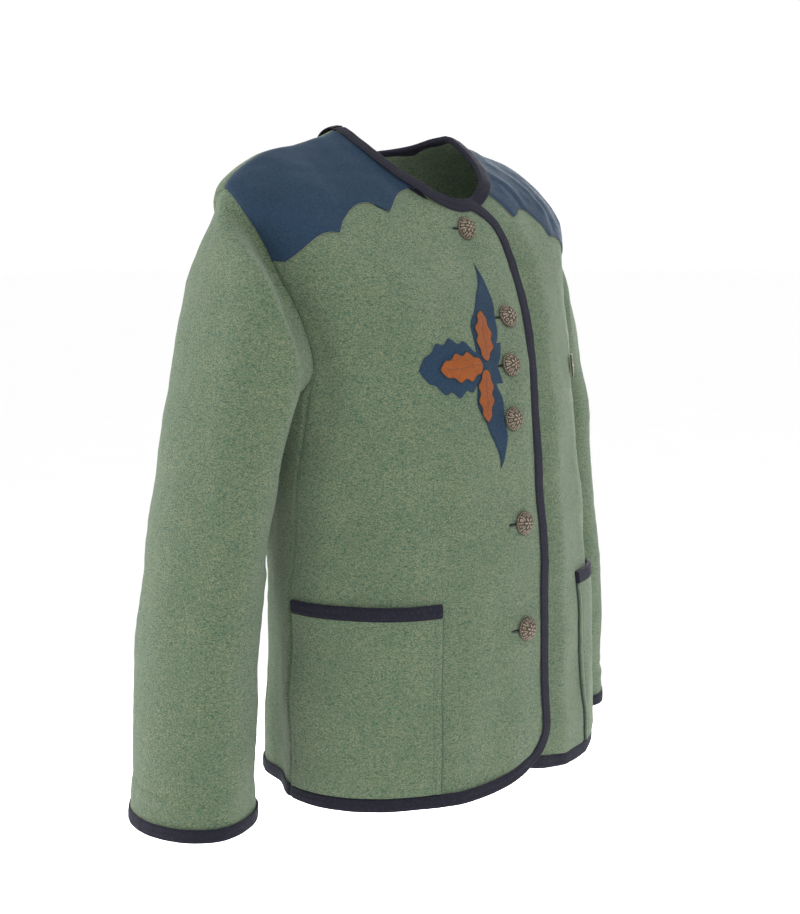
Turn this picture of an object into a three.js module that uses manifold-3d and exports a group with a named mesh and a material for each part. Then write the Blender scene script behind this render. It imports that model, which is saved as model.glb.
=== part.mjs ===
// Tyrolean loden jacket, worn closed, with the hollow form that its cut gives it.
// Millimetres. +X is the wearer's left, -Y the front, +Z up. The origin is the middle of the
// neck, level with the two side neck points, where a wearer's shoulders hold the jacket.
//
// A place on the body is an angle and a level. The angle is in degrees: 0 at centre front,
// 90 at the wearer's left side, -90 at the right side, 180 at centre back. The level counts
// the rows of RINGS, from 0 at the hem to 10 at the neck.
import * as THREE from 'three';
import { mergeVertices } from 'three/addons/utils/BufferGeometryUtils.js';
import Module from 'manifold-3d';

const wasm = await Module();
wasm.setup();

// ---------- driving dimensions ----------
const CLOTH = 2.2;            // loden wall
const FELT = 1.2;             // yoke and applique cloth
const TAPE = 1.2;             // binding tape, one layer
const TAPE_WIDTH = 11;        // binding seen from outside
const LIFT = 0.4;             // air between a panel and what lies on it
const FIT_OUT = 0.5;          // air between the panel and the outer leg of a binding
const FIT_IN = 1.0;           // and its inner leg, which follows a curve from inside
const SEAM_HALF = 0.2;        // each panel stops this far short of a seam
const TRIM = 0.35;            // and each binding's end this far inside its panel's
const SLEEVE_GAP = 0.5;       // from the armhole's edge to the sleeve
// Round the armhole, counted in degrees from its lowest point, the sleeve leaves square to the
// body up to the first angle and flush with it from the second.
const SLEEVE_TURN = { from: 30, to: 120 };
const UNDERLAP = 7.2;         // how far the left front lies under the right one
const UNDERLAP_RAMP = { from: 1.5, to: 11, neck: 26 };   // degrees past the right edge where
// it comes up again, and where that ends at the neck
const NECK_LEVEL = 10;
const TIP_LEVEL = 7;          // shoulder tip
const UNDERARM_LEVEL = 4.12;  // where the side panels' seams meet the armholes
const SHOULDER = 90;          // the shoulder seam's angle
const DIP_POWER = { front: 1.1, back: 1.5 };   // how fast a ring's dip fades to the sides
const FLARE_FROM = 2.4;       // level from which a side panel widens to its armhole
const SAG_FROM = 3;           // and from which its rows follow the armhole down

// Rings of the body from hem to neck: height at the side, half width, place of the side point,
// depth to the front and to the back, squareness, and how far the ring dips at centre front and
// centre back. edge, seamF and seamB are the angles of the front edge and of the side panel.
const RINGS = [
  { z: -643, half: 196, mid: -60, front: 134, back: 130, square: 2.15, dipF: 0, dipB: 0,
    edge: 8.5, seamF: 92, seamB: 126 },
  { z: -530, half: 192, mid: -55, front: 134, back: 124, square: 2.15, dipF: 0, dipB: 0,
    edge: 8.2, seamF: 91.5, seamB: 125 },
  { z: -415, half: 187, mid: -44, front: 139, back: 116, square: 2.2, dipF: 0, dipB: 0,
    edge: 8.8, seamF: 88, seamB: 124 },
  { z: -312, half: 186, mid: -25, front: 147, back: 110, square: 2.25, dipF: 0, dipB: 0,
    edge: 9.2, seamF: 79, seamB: 122 },
  { z: -235, half: 189, mid: -8, front: 152, back: 104, square: 2.3, dipF: 0, dipB: 0,
    edge: 10.3, seamF: 69, seamB: 120 },
  { z: -165, half: 199, mid: 0, front: 144, back: 98, square: 2.3, dipF: 25, dipB: 0,
    edge: 12.8, seamF: 62, seamB: 118 },
  { z: -104, half: 212, mid: 2, front: 128, back: 90, square: 2.3, dipF: 48, dipB: 8,
    edge: 14, seamF: 62, seamB: 118 },
  { z: -57, half: 220, mid: 3, front: 112, back: 80, square: 2.25, dipF: 66, dipB: 14,
    edge: 14.8, seamF: 62, seamB: 118 },
  { z: -26, half: 181, mid: 2, front: 102, back: 72, square: 2.2, dipF: 72, dipB: 14,
    edge: 16, seamF: 62, seamB: 118 },
  { z: -10, half: 129, mid: 1, front: 96, back: 66, square: 2.1, dipF: 69, dipB: 14,
    edge: 17.5, seamF: 62, seamB: 118 },
  { z: 2, half: 76, mid: 0, front: 92, back: 62, square: 2, dipF: 67, dipB: 14,
    edge: 18, seamF: 62, seamB: 118 },
];

// Soft folds that run up from the hem: angle, half breadth in degrees, depth outwards and the
// level where they fade.
const HEM_FOLDS = [
  { at: -108, wide: 11, out: -11, fade: 2.6 },
  { at: -133, wide: 13, out: 9, fade: 2.4 },
  { at: -163, wide: 14, out: -6, fade: 1.8 },
  { at: 106, wide: 12, out: -8, fade: 2.2 },
  { at: 131, wide: 14, out: 8, fade: 2.6 },
  { at: 158, wide: 12, out: -5, fade: 1.9 },
];

// The armhole as angle and level on the body, for every 22.5 degrees round it from the
// shoulder tip over the front.
const ARMHOLE = [
  { angle: 90, level: 7 }, { angle: 83, level: 6.86 }, { angle: 77.5, level: 6.55 },
  { angle: 74, level: 6.1 }, { angle: 71, level: 5.6 }, { angle: 68, level: 4.9 },
  { angle: 67.5, level: UNDERARM_LEVEL }, { angle: 77, level: 3.8 },
  { angle: 93, level: 3.7 }, { angle: 109, level: 3.8 },
  { angle: 119.5, level: UNDERARM_LEVEL }, { angle: 120, level: 4.9 },
  { angle: 116, level: 5.6 }, { angle: 110, level: 6.15 }, { angle: 104, level: 6.6 },
  { angle: 97.5, level: 6.88 },
];

// Rings of a sleeve from the underarm to the cuff: height, distance from the middle plane,
// place forward or back for the right and for the left sleeve, half breadths across and fore
// and aft, and how much higher the outer side lies than the inner.
const SLEEVE = [
  { z: -200, reach: 222, right: -18, left: 26, across: 30, fore: 80, tilt: 70 },
  { z: -300, reach: 239, right: -9, left: 17, across: 40, fore: 76, tilt: 34 },
  { z: -400, reach: 253, right: -2, left: 12, across: 47, fore: 71, tilt: 12 },
  { z: -500, reach: 264, right: 0, left: 9, across: 52, fore: 69, tilt: 4 },
  { z: -597, reach: 270, right: 0, left: 10, across: 55, fore: 67, tilt: 2 },
  { z: -657, reach: 273, right: 0, left: 10, across: 57, fore: 67, tilt: 0 },
];

// How far the sleeve's surface keeps its direction where it leaves the armhole and where it
// reaches the first ring, as parts of the way between them.
const SLEEVE_FLOW = [
  { leave: 1.2, arrive: 0.6 },   // underneath
  { leave: 0.9, arrive: 0.9 },   // front and back
  { leave: 0.9, arrive: 1.6 },   // top
];

// Buttons: place across and height of the head's middle.
const BUTTONS = [
  { x: 1, z: -93 }, { x: 18, z: -180 }, { x: 3, z: -226 },
  { x: -3, z: -278 }, { x: -2, z: -380 }, { x: -3, z: -485 },
];
const BUTTON_R = 12;
const BUTTON_RISE = 6.5;      // dome over the rim
const BUTTON_RIM = 1.4;       // height of the rim under the dome
const BUTTON_LIFT = 1;        // from the cloth to the underside of the head
const SHANK_R = 1.8;
const SHANK_INTO = 0.6;       // how far the shank reaches past the left front's face
const HOLE = { toSide: 19, toEdge: 4, slit: 1.4, eye: 3 };   // buttonhole round the shank

const ORNAMENT = { x: 141, z: -236, width: 19, height: 26, thick: 2.6, bevel: 0.8, lift: 1.6 };

// Lower edge of the yoke in front view, from the armhole to the neck: each scallop runs from
// one cusp to the next and bulges upwards by rise.
const YOKE_CUSPS = [
  { x: 224, z: -106, rise: 0 }, { x: 197, z: -128, rise: 0 }, { x: 150, z: -99, rise: 10 },
  { x: 143, z: -88, rise: 0 }, { x: 90, z: -79, rise: 13 }, { x: 84, z: -73, rise: 0 },
  { x: 50, z: -56, rise: 6 }, { x: 30, z: -40, rise: 0 },
];

// Pockets: the way they face, in degrees from the front, their breadth to the back and to the
// front of that, the height of the mouth and of the band along it.
const POCKET = { turn: 53, back: -70, front: 74, top: -447, band: 13 };

// The motif on the right chest: three leaves from one point on a larger ground. Each leaf has
// its direction in degrees from straight up, its length and its greatest width.
const MOTIF = { x: -34, z: -225 };
const LEAF_CLOTH = 0.9;
const LEAVES = [
  { name: 'up', turn: -17, long: 50, wide: 23 },
  { name: 'side', turn: 93, long: 47, wide: 29 },
  { name: 'down', turn: 177, long: 50, wide: 22 },
];
const LEAF_START = 4;       // the leaves' feet stay this far from their common point
const GROUND = [
  { turn: -20, long: 104, wide: 40, skew: 0.62, blunt: 1.1, lobe: 0.06, waves: 3 },
  { turn: 92, long: 71, wide: 56, skew: 0.9, blunt: 0.7, lobe: 0.09, waves: 4.5 },
  { turn: 185, long: 100, wide: 37, skew: 0.62, blunt: 1.0, lobe: 0.06, waves: 3 },
  { turn: -57, long: 38, wide: 22, skew: 0.7, blunt: 1.1, lobe: 0 },
  { turn: -126, long: 30, wide: 22, skew: 0.7, blunt: 1.1, lobe: 0 },
];

const GREEN = new THREE.MeshStandardMaterial({ color: 0x66795f, roughness: 0.95, metalness: 0 });
const BLUE = new THREE.MeshStandardMaterial({ color: 0x2f4658, roughness: 0.9, metalness: 0 });
const RUST = new THREE.MeshStandardMaterial({ color: 0x9a5424, roughness: 0.85, metalness: 0 });
const NAVY = new THREE.MeshStandardMaterial({ color: 0x26262e, roughness: 0.85, metalness: 0 });
const SILVER = new THREE.MeshStandardMaterial({ color: 0x8f887a, roughness: 0.35, metalness: 1 });

// ---------- small helpers ----------
const radians = (degrees) => degrees * Math.PI / 180;
const clamp = (x, low, high) => Math.min(Math.max(x, low), high);
const mix = (a, b, t) => a + (b - a) * t;

function ease(x, from, to) {
  const t = clamp((x - from) / (to - from), 0, 1);
  return t * t * (3 - 2 * t);
}

// One number of a table between its rows, on a smooth curve through all of them.
function between(table, at, column, round = false) {
  const last = table.length - 1;
  const place = round ? at : clamp(at, 0, last);
  const i = round ? Math.floor(place) : Math.min(Math.floor(place), last - 1);
  const t = place - i;
  const pick = (k) => {
    const row = round ? (k + 2 * table.length) % table.length : clamp(k, 0, last);
    return table[row][column];
  };
  const a = pick(i);
  const b = pick(i + 1);
  const slopeA = (b - pick(i - 1)) / 2;
  const slopeB = (pick(i + 2) - a) / 2;
  const t2 = t * t;
  const t3 = t2 * t;
  return (2 * t3 - 3 * t2 + 1) * a + (t3 - 2 * t2 + t) * slopeA
    + (3 * t2 - 2 * t3) * b + (t3 - t2) * slopeB;
}

// ---------- the body's surface ----------
function body(angle, level) {
  const ring = (column) => between(RINGS, level, column);
  const c = Math.cos(radians(angle));
  const s = Math.sin(radians(angle));
  const power = 2 / ring('square');
  const deep = Math.abs(c) ** power;
  const wide = Math.sign(s) * Math.abs(s) ** power;
  const inFront = c > 0;
  const depth = inFront ? -ring('front') * deep : ring('back') * deep;
  const dip = inFront ? ring('dipF') * Math.abs(c) ** DIP_POWER.front
    : ring('dipB') * Math.abs(c) ** DIP_POWER.back;
  let out = 0;
  for (const fold of HEM_FOLDS) {
    const away = ((angle - fold.at + 540) % 360 - 180) / fold.wide;
    out += fold.out * Math.exp(-away * away) * (1 - ease(level, 0, fold.fade));
  }
  return new THREE.Vector3(ring('half') * wide + out * s, ring('mid') + depth - out * c,
    ring('z') - dip);
}

function outward(angle, level) {
  const near = { angle: 0.4, level: 0.05 };
  const across = body(angle + near.angle, level).sub(body(angle - near.angle, level));
  const up = body(angle, level + near.level).sub(body(angle, level - near.level));
  return across.cross(up).normalize();
}

function spot(angle, level, sink = 0) {
  const normal = outward(angle, level);
  return { point: body(angle, level).addScaledVector(normal, -sink), normal };
}

// The spot on the front that lies at x and z in front view, found by Newton's method.
function frontSpot(x, z) {
  const most = { turns: 14, angle: 15, level: 1.5 };
  let angle = x / 3;
  let level = NECK_LEVEL / 2;
  for (let turn = 0; turn < most.turns; turn += 1) {
    const here = body(angle, level);
    const dx = x - here.x;
    const dz = z - here.z;
    const a = body(angle + 0.5, level).sub(here).multiplyScalar(2);
    const b = body(angle, level + 0.02).sub(here).multiplyScalar(50);
    const area = a.x * b.z - a.z * b.x;
    angle += clamp((dx * b.z - dz * b.x) / area, -most.angle, most.angle);
    level += clamp((a.x * dz - a.z * dx) / area, -most.level, most.level);
    level = clamp(level, 0.01, NECK_LEVEL - 0.05);
  }
  return spot(angle, level);
}

// The angle by which a panel stops short of a seam.
function seamGap(level) {
  return SEAM_HALF / radians(between(RINGS, level, 'half'));
}

function armholeAt(side, phi) {
  const at = ((phi % 360 + 360) % 360) / 22.5;
  return { angle: side * between(ARMHOLE, at, 'angle', true),
    level: between(ARMHOLE, at, 'level', true) };
}

// ---------- turning grids into solids ----------
// A grid is rows of spots. The wall lies between two distances from it, measured outwards.
// A round grid's rows close on themselves.
function wall(grid, outer, inner, round = false) {
  const rows = grid.length;
  const columns = grid[0].length;
  const points = [];
  for (const reach of [outer, inner]) {
    for (const row of grid) {
      for (const { point, normal } of row) {
        const p = point.clone().addScaledVector(normal, reach);
        points.push(p.x, p.y, p.z);
      }
    }
  }
  const index = [];
  const at = (layer, r, c) => (layer * rows + r) * columns + c % columns;
  const quad = (a, b, c, d) => index.push(a, b, c, a, c, d);
  const steps = round ? columns : columns - 1;
  for (let r = 0; r < rows - 1; r += 1) {
    for (let c = 0; c < steps; c += 1) {
      quad(at(0, r, c), at(0, r, c + 1), at(0, r + 1, c + 1), at(0, r + 1, c));
      quad(at(1, r, c), at(1, r + 1, c), at(1, r + 1, c + 1), at(1, r, c + 1));
    }
  }
  for (let c = 0; c < steps; c += 1) {
    quad(at(1, 0, c), at(1, 0, c + 1), at(0, 0, c + 1), at(0, 0, c));
    quad(at(0, rows - 1, c), at(0, rows - 1, c + 1), at(1, rows - 1, c + 1), at(1, rows - 1, c));
  }
  if (!round) {
    for (let r = 0; r < rows - 1; r += 1) {
      quad(at(0, r, 0), at(0, r + 1, 0), at(1, r + 1, 0), at(1, r, 0));
      quad(at(1, r, steps), at(1, r + 1, steps), at(0, r + 1, steps), at(0, r, steps));
    }
  }
  return facingOut(points, index);
}

// A closed mesh from points and triangles, turned so that its faces point out.
function facingOut(points, index) {
  const geometry = new THREE.BufferGeometry();
  geometry.setAttribute('position', new THREE.Float32BufferAttribute(points, 3));
  const corner = [0, 1, 2].map(() => new THREE.Vector3());
  let volume = 0;
  for (let i = 0; i < index.length; i += 3) {
    corner.forEach((v, k) => v.fromArray(points, index[i + k] * 3));
    volume += corner[0].dot(corner[1].clone().cross(corner[2]));
  }
  const turned = volume < 0 ? [...index].reverse() : index;
  geometry.setIndex(turned);
  return geometry;
}

// A section of points [out, past] swept along an edge. out is along each spot's normal and
// past goes beyond the edge, away from the cloth.
function sweep(path, section, closed = false) {
  const points = [];
  const count = path.length;
  path.forEach((here, i) => {
    const before = path[closed ? (i + count - 1) % count : Math.max(i - 1, 0)];
    const after = path[closed ? (i + 1) % count : Math.min(i + 1, count - 1)];
    const along = after.point.clone().sub(before.point).normalize();
    const past = along.clone().cross(here.normal).normalize();
    const trim = closed ? 0 : TRIM * (Number(i === 0) - Number(i === count - 1));
    for (const [out, beyond] of section) {
      const p = here.point.clone().addScaledVector(here.normal, out)
        .addScaledVector(past, beyond).addScaledVector(along, trim);
      points.push(p.x, p.y, p.z);
    }
  });
  const index = [];
  const n = section.length;
  const steps = closed ? count : count - 1;
  for (let i = 0; i < steps; i += 1) {
    const a = i * n;
    const b = ((i + 1) % count) * n;
    for (let k = 0; k < n; k += 1) {
      const next = (k + 1) % n;
      index.push(a + k, a + next, b + next, a + k, b + next, b + k);
    }
  }
  if (!closed) {
    const flat = section.map(([x, y]) => new THREE.Vector2(x, y));
    const turn = Math.sign(THREE.ShapeUtils.area(flat));
    const far = (count - 1) * n;
    for (const [p, q, r] of THREE.ShapeUtils.triangulateShape(flat, [])) {
      const same = Math.sign(THREE.ShapeUtils.area([flat[p], flat[q], flat[r]])) === turn;
      const [a, b] = same ? [p, q] : [q, p];
      index.push(far + a, far + b, far + r, b, a, r);
    }
  }
  return facingOut(points, index);
}

function toSolid(geometry) {
  const plain = geometry.clone();
  plain.deleteAttribute('normal');
  plain.deleteAttribute('uv');
  const merged = mergeVertices(plain, 1e-4);
  return new wasm.Manifold(new wasm.Mesh({
    numProp: 3,
    vertProperties: merged.attributes.position.array,
    triVerts: new Uint32Array(merged.index.array),
  }));
}

function toGeometry(solid) {
  const mesh = solid.getMesh();
  const geometry = new THREE.BufferGeometry();
  geometry.setAttribute('position', new THREE.BufferAttribute(mesh.vertProperties, 3));
  geometry.setIndex(new THREE.BufferAttribute(mesh.triVerts, 1));
  return geometry;
}

// A straight block with the given outline in front view, reaching in y from near to far. A
// turn, in degrees, swings it round the Z axis.
function block(outline, near, far, turn = 0) {
  const shape = new THREE.Shape(outline.map(([x, z]) => new THREE.Vector2(x, z)));
  const solid = new THREE.ExtrudeGeometry(shape, { depth: far - near, bevelEnabled: false });
  solid.rotateX(Math.PI / 2);
  solid.translate(0, far, 0);
  solid.rotateZ(radians(turn));
  return toSolid(solid);
}

// ---------- panels ----------
const SEAM_LEVELS = [0, 0.35, 0.9, 1.6, 2.3, 2.95, 3.55, UNDERARM_LEVEL];
const NECK_LEVELS = [7.5, 8.1, 8.8, 9.4, NECK_LEVEL];
const ARMHOLE_STEP = 22.5;
const FRONT_STEPS = [0, 0.1, 0.21, 0.33, 0.46, 0.58, 0.69, 0.79, 0.87, 0.93, 0.975, 1];
const CORNER_FROM = 0.637;    // part of the front's breadth where its lower corner begins
const CORNER_RISE = 0.54;     // levels that the corner climbs
const CORNER_LEVEL = 1.6;     // above this the rows run level again
const TOP_FROM = 0.9;         // the same for the rounded corner at the neck
const TOP_DROP = 1.6;

const UPPER_ROWS = SEAM_LEVELS.length;   // the rows from this one on lie beside the armhole

// The rows of a front or back panel from hem to neck: the level and the angle of its side
// edge. facing is 1 for a front and -1 for the back.
function sideEdge(facing) {
  const seam = facing > 0 ? 'seamF' : 'seamB';
  const rows = SEAM_LEVELS.slice(0, -1).map((level) => (
    { level, side: between(RINGS, level, seam) - facing * seamGap(level) }));
  for (let turn = 135; turn >= 0; turn -= ARMHOLE_STEP) {
    const { angle, level } = armholeAt(1, facing * turn);
    rows.push({ level, side: angle - facing * seamGap(level) });
  }
  for (const level of NECK_LEVELS) {
    rows.push({ level, side: SHOULDER - facing * seamGap(level) });
  }
  return rows;
}

function quarter(t) {
  return 1 - Math.sqrt(1 - clamp(t, 0, 1) ** 2);
}

// The left front lies under the right one at centre front and comes up beside its edge.
function sinkOf(side, angle, level) {
  const past = angle - between(RINGS, level, 'edge');
  const { from, to, neck } = UNDERLAP_RAMP;
  const end = mix(to, neck, ease(level, TIP_LEVEL, NECK_LEVEL));
  return side > 0 ? UNDERLAP * (1 - ease(past, from, end)) : 0;
}

function frontGrid(side) {
  return sideEdge(1).map((row) => FRONT_STEPS.map((step) => {
    const rise = CORNER_RISE * quarter((step - CORNER_FROM) / (1 - CORNER_FROM));
    const drop = TOP_DROP * quarter((step - TOP_FROM) / (1 - TOP_FROM));
    let { level } = row;
    level = level < CORNER_LEVEL ? mix(rise, CORNER_LEVEL, level / CORNER_LEVEL) : level;
    const above = (level - TIP_LEVEL) / (NECK_LEVEL - TIP_LEVEL);
    level = above > 0 ? mix(TIP_LEVEL, NECK_LEVEL - drop, above) : level;
    const toEdge = mix(row.side, -between(RINGS, level, 'edge'), step);
    const angle = side * toEdge;
    return spot(angle, level, sinkOf(side, angle, level));
  }));
}

function backGrid() {
  const steps = 12;
  return sideEdge(-1).map(({ level, side }) => Array.from({ length: steps + 1 }, (_, i) => (
    spot(mix(side, 360 - side, i / steps), level))));
}

function sideGrid(side) {
  const turns = [135, 157.5, 180, 202.5, 225];
  return SEAM_LEVELS.map((level) => turns.map((turn, i) => {
    const top = armholeAt(1, turn);
    const atTop = level === UNDERARM_LEVEL;
    const front = atTop ? ARMHOLE[6].angle : between(RINGS, level, 'seamF');
    const back = atTop ? ARMHOLE[10].angle : between(RINGS, level, 'seamB');
    const low = front + seamGap(level);
    const high = back - seamGap(level);
    const part = (top.angle - ARMHOLE[6].angle) / (ARMHOLE[10].angle - ARMHOLE[6].angle);
    const reach = ease(level, FLARE_FROM, UNDERARM_LEVEL);
    const straight = mix(low, high, i / (turns.length - 1));
    const flaring = mix(low, high, part);
    const sag = Math.max(level - SAG_FROM, 0) / (UNDERARM_LEVEL - SAG_FROM);
    const height = level - sag * (UNDERARM_LEVEL - top.level);
    return spot(side * mix(straight, flaring, reach), height);
  }));
}

// ---------- sleeves ----------
function sleeveRing(side, phi, along) {
  const ring = (column) => between(SLEEVE, along, column);
  const c = Math.cos(radians(phi));
  const s = Math.sin(radians(phi));
  return new THREE.Vector3(side * (ring('reach') + ring('across') * c),
    ring(side < 0 ? 'right' : 'left') - ring('fore') * s, ring('z') + ring('tilt') * c);
}

// The sleeve's surface. along runs from -1 at the armhole to 0 at the first ring of SLEEVE.
function sleevePoint(side, phi, along) {
  if (along >= 0) {
    return sleeveRing(side, phi, along);
  }
  const { angle, level } = armholeAt(side, phi);
  const edge = body(angle, level);
  const ahead = armholeAt(side, phi + 1);
  const behind = armholeAt(side, phi - 1);
  const tangent = body(ahead.angle, ahead.level).sub(body(behind.angle, behind.level));
  const normal = outward(angle, level);
  const across = tangent.cross(normal).normalize().multiplyScalar(-side);
  const under = Math.abs(((phi % 360) + 360) % 360 - 180);
  const lift = ease(SLEEVE_TURN.to - under, 0, SLEEVE_TURN.to - SLEEVE_TURN.from) * Math.PI / 2;
  const start = normal.clone().multiplyScalar(Math.sin(lift)).addScaledVector(across, Math.cos(lift));
  const first = sleeveRing(side, phi, 0);
  const end = sleeveRing(side, phi, 0.05).sub(first).normalize();
  const from = edge.addScaledVector(start, SLEEVE_GAP);
  const span = from.distanceTo(first);
  const quarters = Math.min(Math.floor(under / 90), 1);
  const [low, high] = SLEEVE_FLOW.slice(quarters);
  const leave = mix(low.leave, high.leave, under / 90 - quarters);
  const arrive = mix(low.arrive, high.arrive, under / 90 - quarters);
  const t = along + 1;
  const t2 = t * t;
  const t3 = t2 * t;
  return from.clone().multiplyScalar(2 * t3 - 3 * t2 + 1)
    .addScaledVector(start, (t3 - 2 * t2 + t) * span * leave)
    .addScaledVector(first, 3 * t2 - 2 * t3)
    .addScaledVector(end, (t3 - t2) * span * arrive);
}

function sleeveGrid(side) {
  const stations = [-1, -0.92, -0.78, -0.58, -0.35, -0.1, 0.4, 1.3, 2.4, 3.6, 5];
  return stations.map((along) => {
    const row = [];
    for (let phi = 0; phi < 360; phi += ARMHOLE_STEP) {
      const point = sleevePoint(side, phi, along);
      const round = sleevePoint(side, phi + 1, along).sub(sleevePoint(side, phi - 1, along));
      const low = Math.max(along - 0.02, -1);
      const high = Math.min(along + 0.02, 5);
      const down = sleevePoint(side, phi, high).sub(sleevePoint(side, phi, low));
      const normal = round.cross(down).normalize().multiplyScalar(side);
      row.push({ point, normal });
    }
    return row;
  });
}

// ---------- bindings ----------
// Section of the folded tape round the cloth's edge, in points [out, past]: out is measured
// from the cloth's outer face and past from its edge, so that a leg ends at -LEG.
const LEG = TAPE_WIDTH - TAPE - FIT_OUT;
const CHANNEL = [
  [FIT_OUT, -LEG], [FIT_OUT + TAPE, -LEG], [FIT_OUT + TAPE, FIT_OUT + TAPE],
  [-CLOTH - FIT_IN - TAPE, FIT_OUT + TAPE], [-CLOTH - FIT_IN - TAPE, -LEG],
  [-CLOTH - FIT_IN, -LEG], [-CLOTH - FIT_IN, FIT_OUT], [FIT_OUT, FIT_OUT],
];
// The room that a binding needs, kept free of the pieces that lie on the panel.
const ROOM = { low: -4, high: 6, past: 5 };
const CLEARING = [[ROOM.low, -LEG - LIFT], [ROOM.high, -LEG - LIFT], [ROOM.high, ROOM.past],
  [ROOM.low, ROOM.past]];

// The bound edge of a front: along the hem, round the corner, up the edge and round the neck.
function frontEdge(grid, side) {
  const last = FRONT_STEPS.length - 1;
  const path = [...grid[0].slice(0, -1), ...grid.slice(0, -1).map((row) => row[last]),
    ...[...grid[grid.length - 1]].reverse()];
  return side < 0 ? path : path.reverse();
}

// ---------- pieces cut from a layer that lies on a panel ----------
const REACH = 300;            // blocks reach this far in front of the body
const BACK_OF_YOKE = 100;     // and this far behind its middle to take in a shoulder
const LOWEST = -700;          // lower than any hem

// A layer over a front's grid, from low to high above the panel, inside the given blocks.
function layer(grid, low, high, blocks) {
  const whole = toSolid(wall(grid, high, low));
  const cutter = blocks.reduce((sum, next) => sum.add(next));
  return whole.intersect(cutter);
}

function yokeOutline(side) {
  const edge = [];
  const steps = 5;
  YOKE_CUSPS.forEach((cusp, i) => {
    const next = YOKE_CUSPS[i + 1];
    edge.push([side * cusp.x, cusp.z]);
    for (let step = 1; next && next.rise > 0 && step < steps; step += 1) {
      const t = step / steps;
      const bulge = next.rise * Math.sin(Math.PI * t);
      edge.push([side * mix(cusp.x, next.x, t), mix(cusp.z, next.z, t) + bulge]);
    }
  });
  const outside = 260;
  const above = 40;
  return [...edge, [side * 30, above], [side * outside, above],
    [side * outside, YOKE_CUSPS[0].z]];
}

// A leaf's outline from its foot: sharpest where skew is low, lobed all round by lobe.
function leafOutline({ turn, long, wide, start = 0, skew = 0.85, blunt = 0.6, lobe = 0.13,
  waves = 3.5 }) {
  const steps = 16;
  const right = [];
  const left = [];
  for (let i = 0; i <= steps; i += 1) {
    const t = i / steps;
    const full = Math.max(Math.sin(Math.PI * t ** skew), 0) ** blunt;
    const half = wide / 2 * full * (1 - lobe + lobe * Math.cos(2 * Math.PI * waves * t - 0.6));
    right.push([half, start + t * long]);
    if (i > 0 && i < steps) {
      left.unshift([-half, start + t * long]);
    }
  }
  const c = Math.cos(radians(turn));
  const s = Math.sin(radians(turn));
  return [...right, ...left].map(([x, z]) => (
    [MOTIF.x + x * c - z * s, MOTIF.z + x * s + z * c]));
}

function leafBlock(leaf) {
  return block(leafOutline(leaf), -REACH, 0);
}

// ---------- metal ----------
// Puts a piece modelled on +Z onto a spot, facing out, with its own +Y upwards.
function place(geometry, { point, normal }, lift) {
  const across = new THREE.Vector3(0, 0, 1).cross(normal).normalize();
  const up = normal.clone().cross(across);
  const frame = new THREE.Matrix4().makeBasis(across, up, normal);
  frame.setPosition(point.clone().addScaledVector(normal, lift));
  return geometry.applyMatrix4(frame);
}

// A domed head with a rim, on a shank that reaches the front underneath.
function buttonShape() {
  const foot = -UNDERLAP - SHANK_INTO;
  const ledge = 0.6;
  const profile = [[0, foot], [SHANK_R, foot], [SHANK_R, 0], [BUTTON_R - 1, 0],
    [BUTTON_R, BUTTON_RIM / 2], [BUTTON_R - ledge, BUTTON_RIM]];
  const steps = 4;
  for (let i = 1; i <= steps; i += 1) {
    const turn = radians(90 * i / steps);
    const radius = (BUTTON_R - 2 * ledge) * Math.cos(turn);
    profile.push([radius, BUTTON_RIM + BUTTON_RISE * Math.sin(turn)]);
  }
  const last = profile[profile.length - 1];
  last[0] = 0;
  const head = new THREE.LatheGeometry(profile.map(([x, y]) => new THREE.Vector2(x, y)), 18);
  return head.rotateX(Math.PI / 2);
}

function ornamentShape() {
  const { width, height, thick, bevel } = ORNAMENT;
  const oval = new THREE.Shape();
  oval.absellipse(0, 0, width / 2 - bevel, height / 2 - bevel, 0, Math.PI * 2);
  return new THREE.ExtrudeGeometry(oval, {
    depth: thick - 2 * bevel, bevelThickness: bevel, bevelSize: bevel, bevelSegments: 2,
    curveSegments: 12,
  });
}

// ---------- the jacket ----------
const group = new THREE.Group();

function add(name, geometry, material) {
  const plain = geometry.clone();
  plain.deleteAttribute('normal');
  plain.deleteAttribute('uv');
  const mesh = new THREE.Mesh(mergeVertices(plain, 1e-4), material.clone());
  mesh.name = name;
  group.add(mesh);
}

// The slit and the round eye that a button's shank passes through.
function buttonholes() {
  return BUTTONS.map(({ x, z }) => {
    const slit = [[x - HOLE.toSide, z - HOLE.slit / 2], [x + HOLE.toEdge, z - HOLE.slit / 2],
      [x + HOLE.toEdge, z + HOLE.slit / 2], [x - HOLE.toSide, z + HOLE.slit / 2]];
    const eye = Array.from({ length: 10 }, (_, i) => (
      [x + HOLE.eye * Math.cos(i * Math.PI / 5), z + HOLE.eye * Math.sin(i * Math.PI / 5)]));
    return block(slit, -REACH, 0).add(block(eye, -REACH, 0));
  });
}

function addBody() {
  add('back', wall(backGrid(), 0, -CLOTH), GREEN);
  for (const [side, word] of [[-1, 'right'], [1, 'left']]) {
    add(`side_${word}`, wall(sideGrid(side), 0, -CLOTH), GREEN);
    const grid = frontGrid(side);
    const edge = frontEdge(grid, side);
    const clearing = toSolid(sweep(edge, CLEARING));
    let panel = toSolid(wall(grid, 0, -CLOTH));
    if (side < 0) {
      panel = buttonholes().reduce((rest, hole) => rest.subtract(hole), panel);
    }
    add(`front_${word}`, toGeometry(panel), GREEN);
    add(`binding_front_${word}`, sweep(edge, CHANNEL), NAVY);
    addYoke(side, word, grid.slice(UPPER_ROWS), clearing);
    addPocket(side, word, grid.slice(0, UPPER_ROWS - 1), clearing);
  }
}

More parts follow.
